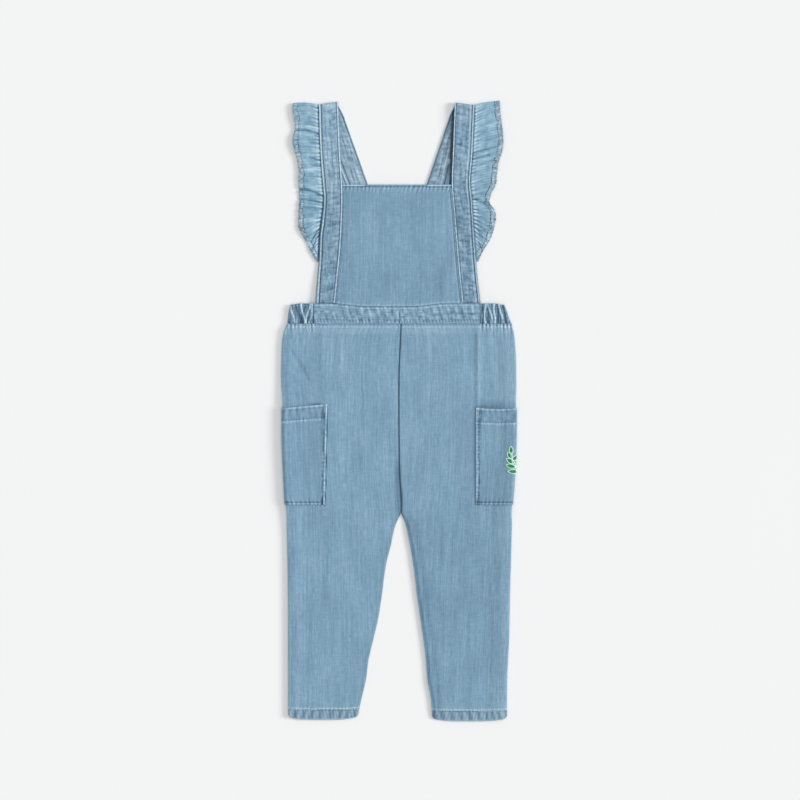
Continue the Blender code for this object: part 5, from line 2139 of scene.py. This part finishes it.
    def front_run(self, heights: Array, across: Array) -> Array:
        """Lay the front, from the foot to the shoulder.

        Args:
            heights: Heights along the strap's edge.
            across: Shares of the way from the strap to the hem.

        Returns:
            Reach, height and level of its points.
        """
        side = self.side
        top, tilt = float(self.strap.shoulder(1.0)), math.radians(side.ruffle_tilt)
        width = follow(side.ruffle, heights, "width")
        near_top = ease((heights - top + self.top_run) / self.top_run)
        notch = gathers(heights, 4.2, 161.0 + side.sign) + uneven(heights, 0.0, 2.3, 1.0, 163.0 + side.sign)
        notch = 0.4 * notch * ease((across - 0.86) / 0.14) * ease(width / 20) * (1 - near_top)
        reach = follow(side.strap, heights, "outer") + SEAM_GAP + width * across * np.cos(tilt * near_top)
        height = heights + width * across * np.sin(tilt * near_top)
        height = height + side.ruffle_arch * np.sin(math.pi * across) * near_top
        return grid(reach + notch, height, self.front_z(heights, width, across))

    def shoulder_run(self, across: Array, edge: Array, floor_z: Array) -> Array:
        """Turn the ruffle over the shoulder.

        Args:
            across: Each column's share of the way to the hem.
            edge: The front's last row.
            floor_z: The level of each column behind.

        Returns:
            Reach, height and level of the turn.
        """
        angle = np.radians(np.linspace(0, 180, self.turn_rows + 2)[1:-1])[:, None]
        radius = (edge[:, 2] - floor_z) / 2
        return grid(edge[:, 0], edge[:, 1] + radius * np.sin(angle), floor_z + radius * (1 + np.cos(angle)))

    def build(self, palette: Palette) -> list[Piece]:
        """Build the ruffle and its hem stitching.

        Args:
            palette: The finished materials.

        Returns:
            The ruffle and its stitching.
        """
        side, strap = self.side, self.strap
        across = stretches((0.0, 0.14, 10), (0.14, 1.0, 33))
        top, tilt = float(strap.shoulder(1.0)), math.radians(side.ruffle_tilt)
        heights = np.linspace(self.foot, top, 360)[:, None]
        width = follow(side.ruffle, heights, "width")
        front = self.front_run(heights, across)
        floor_z = mix(strap.solid_wall / 2, CLOTH / 2, ease(across * 2))

        share = np.linspace(0, 1, 74)[:, None]
        slant = math.atan(strap.back_slant())
        run = self.back_length * share
        turn = mix(-tilt, slant, ease(share * 4))
        back_width = mix(width[-1], self.back_width, ease(share * 3)) * (1 - 0.7 * ease((share - 0.6) / 0.4))
        root = follow(side.strap, heights[-1], "outer") + SEAM_GAP
        back_reach = root + strap.back_shift(run * math.cos(slant)) + back_width * across * np.cos(turn)
        back_height = top - run * math.cos(slant) - back_width * across * np.sin(turn)

        points = np.concatenate([front, self.shoulder_run(across, front[-1], floor_z),
                                 grid(back_reach, back_height, floor_z)])
        points[..., 0] = side.sign * points[..., 0]
        shown, behind = self.relief(heights, width, across), self.relief(top + 8.0 + run, back_width, across)
        turned = np.linspace(1, 0.4, self.turn_rows)[:, None]
        lift = np.concatenate([shown.lift, shown.lift[-1:] * turned, -0.5 * behind.lift * ease(share * 6)])
        wear_and_shade = np.concatenate([shown.wear_and_shade, shown.wear_and_shade[-1:] * turned, behind.wear_and_shade])
        length = runs_along(points[:, 0])[:, None]
        full = np.concatenate([width, np.repeat(width[-1:], self.turn_rows, axis=0), back_width])
        hem_band = fade(full * (1 - across) - self.hem, 1.5)
        dull = hem_band * (0.25 + 0.2 * uneven(length, 0.0, 21.0, 1.0, 151.0 + side.sign))
        grain = grid(side.sign * length * self.fullness + 1500, across * full)
        sheet = Sheet(points, grain, np.clip(wear_and_shade, *self.wear_and_shade_range), dull)
        sheet.raise_by(lift, self.wall / 2 + 0.02)
        piece = cut(f"ruffle_{side.name}", sheet, self.wall, palette.ruffle)
        split = len(heights) + 6
        out = self.wall / 2 + THREAD_OUT
        paths = [sheet.path(sheet.line_beside(self.hem, True, 14, split), out),
                 sheet.path(sheet.line_beside(self.hem, True, split, -4), out, under=True)]
        return [piece, self.stitch.sew_along(f"ruffle_stitches_{side.name}", paths, palette.thread)]


# ------------------------------------------------------------------------------ embroidery
@dataclass(frozen=True)
class Leaf:
    """A leaf of the sprig, from its foot to its tip, by places on the pocket."""

    foot_along: float
    foot_height: float
    tip_along: float
    tip_height: float
    half_width: float


@dataclass(frozen=True)
class Sprig:
    """A plain leaf sprig in satin stitch, with a pale outline, round the side of one pocket."""

    side: Side
    form: LegForm
    satin_stitch: Stitches = Stitches(length=1.9, pitch=1.3, radius=0.24)
    outline_stitch: Stitches = Stitches(length=1.7, pitch=1.0, radius=0.6)
    stem: tuple[tuple[float, float], ...] = (
        (-6.0, 294.0), (-1.5, 300.0), (2.0, 307.0), (4.6, 315.0), (5.6, 322.0),
    )
    leaves: tuple[Leaf, ...] = table(
        Leaf, (-2.0, 299, 8.8, 300, 2.3), (1.0, 304.6, 11.0, 307.6, 2.4), (2.6, 309.4, 10.8, 315.2, 2.4),
        (4.4, 315, 10.0, 322.6, 2.3), (5.4, 321, 6.4, 330, 2.2), (4.0, 313, -4.0, 321, 2.4),
        (1.6, 306, -7.4, 312.6, 2.4), (-2.0, 299, -11.0, 304.6, 2.4),
    )
    out: float = LAYER_STEP + WALL / 2
    stem_half: float = 0.65
    row_step: float = 0.42      # from one satin thread to the next

    def thread(self, ends: Array, steps: int, out: float) -> Path:
        """Lay a thread over the pocket.

        Args:
            ends: Places that it runs through, as along and height.
            steps: Number of points.
            out: How far it lies off the cloth.

        Returns:
            Its points and facings.
        """
        t = np.linspace(0, len(ends) - 1, steps)
        along, height = (np.interp(t, np.arange(len(ends)), column) for column in ends.T)
        points = self.form.surface(height, along, self.out + out)
        return points, unit(points - self.form.surface(height, along, self.out - 1.0))

    def margin(self, leaf: Leaf, t: Array, hand: int) -> Array:
        """Follow one margin of a leaf.

        Args:
            leaf: The leaf.
            t: Shares of its length.
            hand: -1 or 1 for a margin, 0 for its midrib.

        Returns:
            Places on the pocket.
        """
        foot = np.array([leaf.foot_along, leaf.foot_height])
        line = np.array([leaf.tip_along, leaf.tip_height]) - foot
        aside = np.array([-line[1], line[0]]) / np.hypot(*line)
        swell = leaf.half_width * np.sin(math.pi * np.clip(t, 0, 1) ** 0.85) ** 0.8
        return foot + t[:, None] * line + hand * swell[:, None] * aside

    def satin(self, leaf: Leaf) -> list[Path]:
        """Fill both halves of a leaf with satin threads.

        Args:
            leaf: The leaf.

        Returns:
            The threads.
        """
        length = math.hypot(leaf.tip_along - leaf.foot_along, leaf.tip_height - leaf.foot_height)
        paths = []
        for t in np.linspace(0.04, 0.9, int(length / self.row_step)):
            root = self.margin(leaf, np.array([t]), 0)
            for hand in (-1, 1):
                tip = self.margin(leaf, np.array([min(t + 0.1, 0.985)]), hand)
                paths.append(self.thread(np.concatenate([root, tip]), 5, 0.16))
        return paths

    def build(self, palette: Palette) -> list[Piece]:
        """Build the green leaves and stem, and the pale outlines.

        Args:
            palette: The finished materials.

        Returns:
            The green and the pale threads.
        """
        stem, t = np.array(self.stem), np.linspace(0, 1, 24)
        greens = [path for leaf in self.leaves for path in self.satin(leaf)] + [self.thread(stem, 30, 0.3)]
        pales = [self.thread(self.margin(leaf, t, hand), 24, 0.22)
                 for leaf in self.leaves for hand in (-1, 1)]
        pales += [self.thread(stem + np.array([hand * self.stem_half, 0.0]), 30, 0.2) for hand in (-1, 1)]
        return [self.satin_stitch.sew_along("sprig_green", greens, palette.green, Slot.GREEN),
                self.outline_stitch.sew_along("sprig_outline", pales, palette.mint, Slot.MINT)]


# ------------------------------------------------------------------------------ studio
@dataclass(frozen=True)
class Studio:
    """A pale floor, a soft key light from the right, an even fill, and a camera straight above."""

    floor_size: float = 6.0
    floor_colour: str = "#EEEFF0"
    fill_colour: str = "#FFFEFC"
    camera_x: float = 0.0012
    camera_y: float = 0.0129
    camera_height: float = 5.0
    view_width: float = 0.96
    sensor: float = 36.0
    key_strength: float = 2.1
    key_elevation: float = 28.0
    key_heading: float = 3.0
    key_softness: float = 22.0
    overhead_strength: float = 1.15
    overhead_softness: float = 60.0
    fill_strength: float = 0.38

    def floor(self) -> None:
        """Lay the floor just under the garment."""
        deselect_all()
        bpy.ops.mesh.primitive_plane_add(size=self.floor_size, location=(0, 0, -0.1 * MM))
        floor = bpy.context.object
        floor.name = "studio_floor"
        finish = Finish("matt_paper_sweep")
        place = finish.add("TexCoord").outputs["Object"]
        noise = finish.add("TexNoise", {"Scale": 3.0, "Detail": 2.0, "Vector": place}).outputs["Fac"]
        shade = linear(self.floor_colour)
        colour = finish.between(noise, tinted(shade, 0.985), shade)
        floor.data.materials.append(finish.dress({
            "Base Color": colour, "Roughness": 0.9, "Specular IOR Level": 0.1,
        }))

    def light(self, name: str, strength: float, softness: float, elevation: float, heading: float) -> None:
        """Set one soft, even light.

        Args:
            name: Its name.
            strength: Its strength.
            softness: How wide it looks, in degrees.
            elevation: Degrees above the floor.
            heading: Degrees that it comes from, anticlockwise from +X.
        """
        deselect_all()
        bpy.ops.object.light_add(type="SUN", location=(1.5, 0.5, 1.5))
        lamp = bpy.context.object
        lamp.name = name
        lamp.data.energy = strength
        lamp.data.angle = math.radians(softness)
        lamp.rotation_euler = (0.0, math.radians(90 - elevation), math.radians(heading))

    def lights(self) -> None:
        """Set the low key light, the broad light overhead and the fill from all round."""
        self.light("soft_key", self.key_strength, self.key_softness, self.key_elevation, self.key_heading)
        self.light("broad_overhead", self.overhead_strength, self.overhead_softness, 90.0, 0.0)
        world = bpy.data.worlds.new("even_fill")
        world.use_nodes = True
        background = world.node_tree.nodes["Background"]
        background.inputs["Color"].default_value = linear(self.fill_colour)
        background.inputs["Strength"].default_value = self.fill_strength
        bpy.context.scene.world = world

    def camera(self) -> None:
        """Hang the camera straight above the garment."""
        lens = bpy.data.cameras.new("overhead")
        lens.sensor_width = self.sensor
        lens.lens = self.sensor * self.camera_height / self.view_width
        lens.clip_end = 20.0
        camera = bpy.data.objects.new("overhead", lens)
        camera.location = (self.camera_x, self.camera_y, self.camera_height)
        bpy.context.scene.collection.objects.link(camera)
        bpy.context.scene.camera = camera

    def build(self) -> None:
        """Set up the whole studio."""
        self.floor()
        self.lights()
        self.camera()
        bpy.context.scene.view_settings.view_transform = "Standard"


def main() -> None:
    """Build the dungarees, piece by piece, in their studio."""
    logging.basicConfig(level=logging.INFO, format="%(name)s: %(message)s")
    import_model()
    palette = Palette.mixed()
    parts: list = []
    for side in (LEFT, RIGHT):
        form, strap = LegForm(side), Strap(side)
        parts += [Leg(side, form), Pocket(side, form), strap, Ruffle(side, strap)]
    parts += [Waistband(), Bib(), Sprig(RIGHT, LegForm(RIGHT))]
    for part in parts:
        for piece in part.build(palette):
            triangles = sum(len(face.vertices) - 2 for face in piece.data.polygons)
            LOG.info("%s: %d triangles", piece.name, triangles)
    Studio().build()


if __name__ == "__main__":
    main()
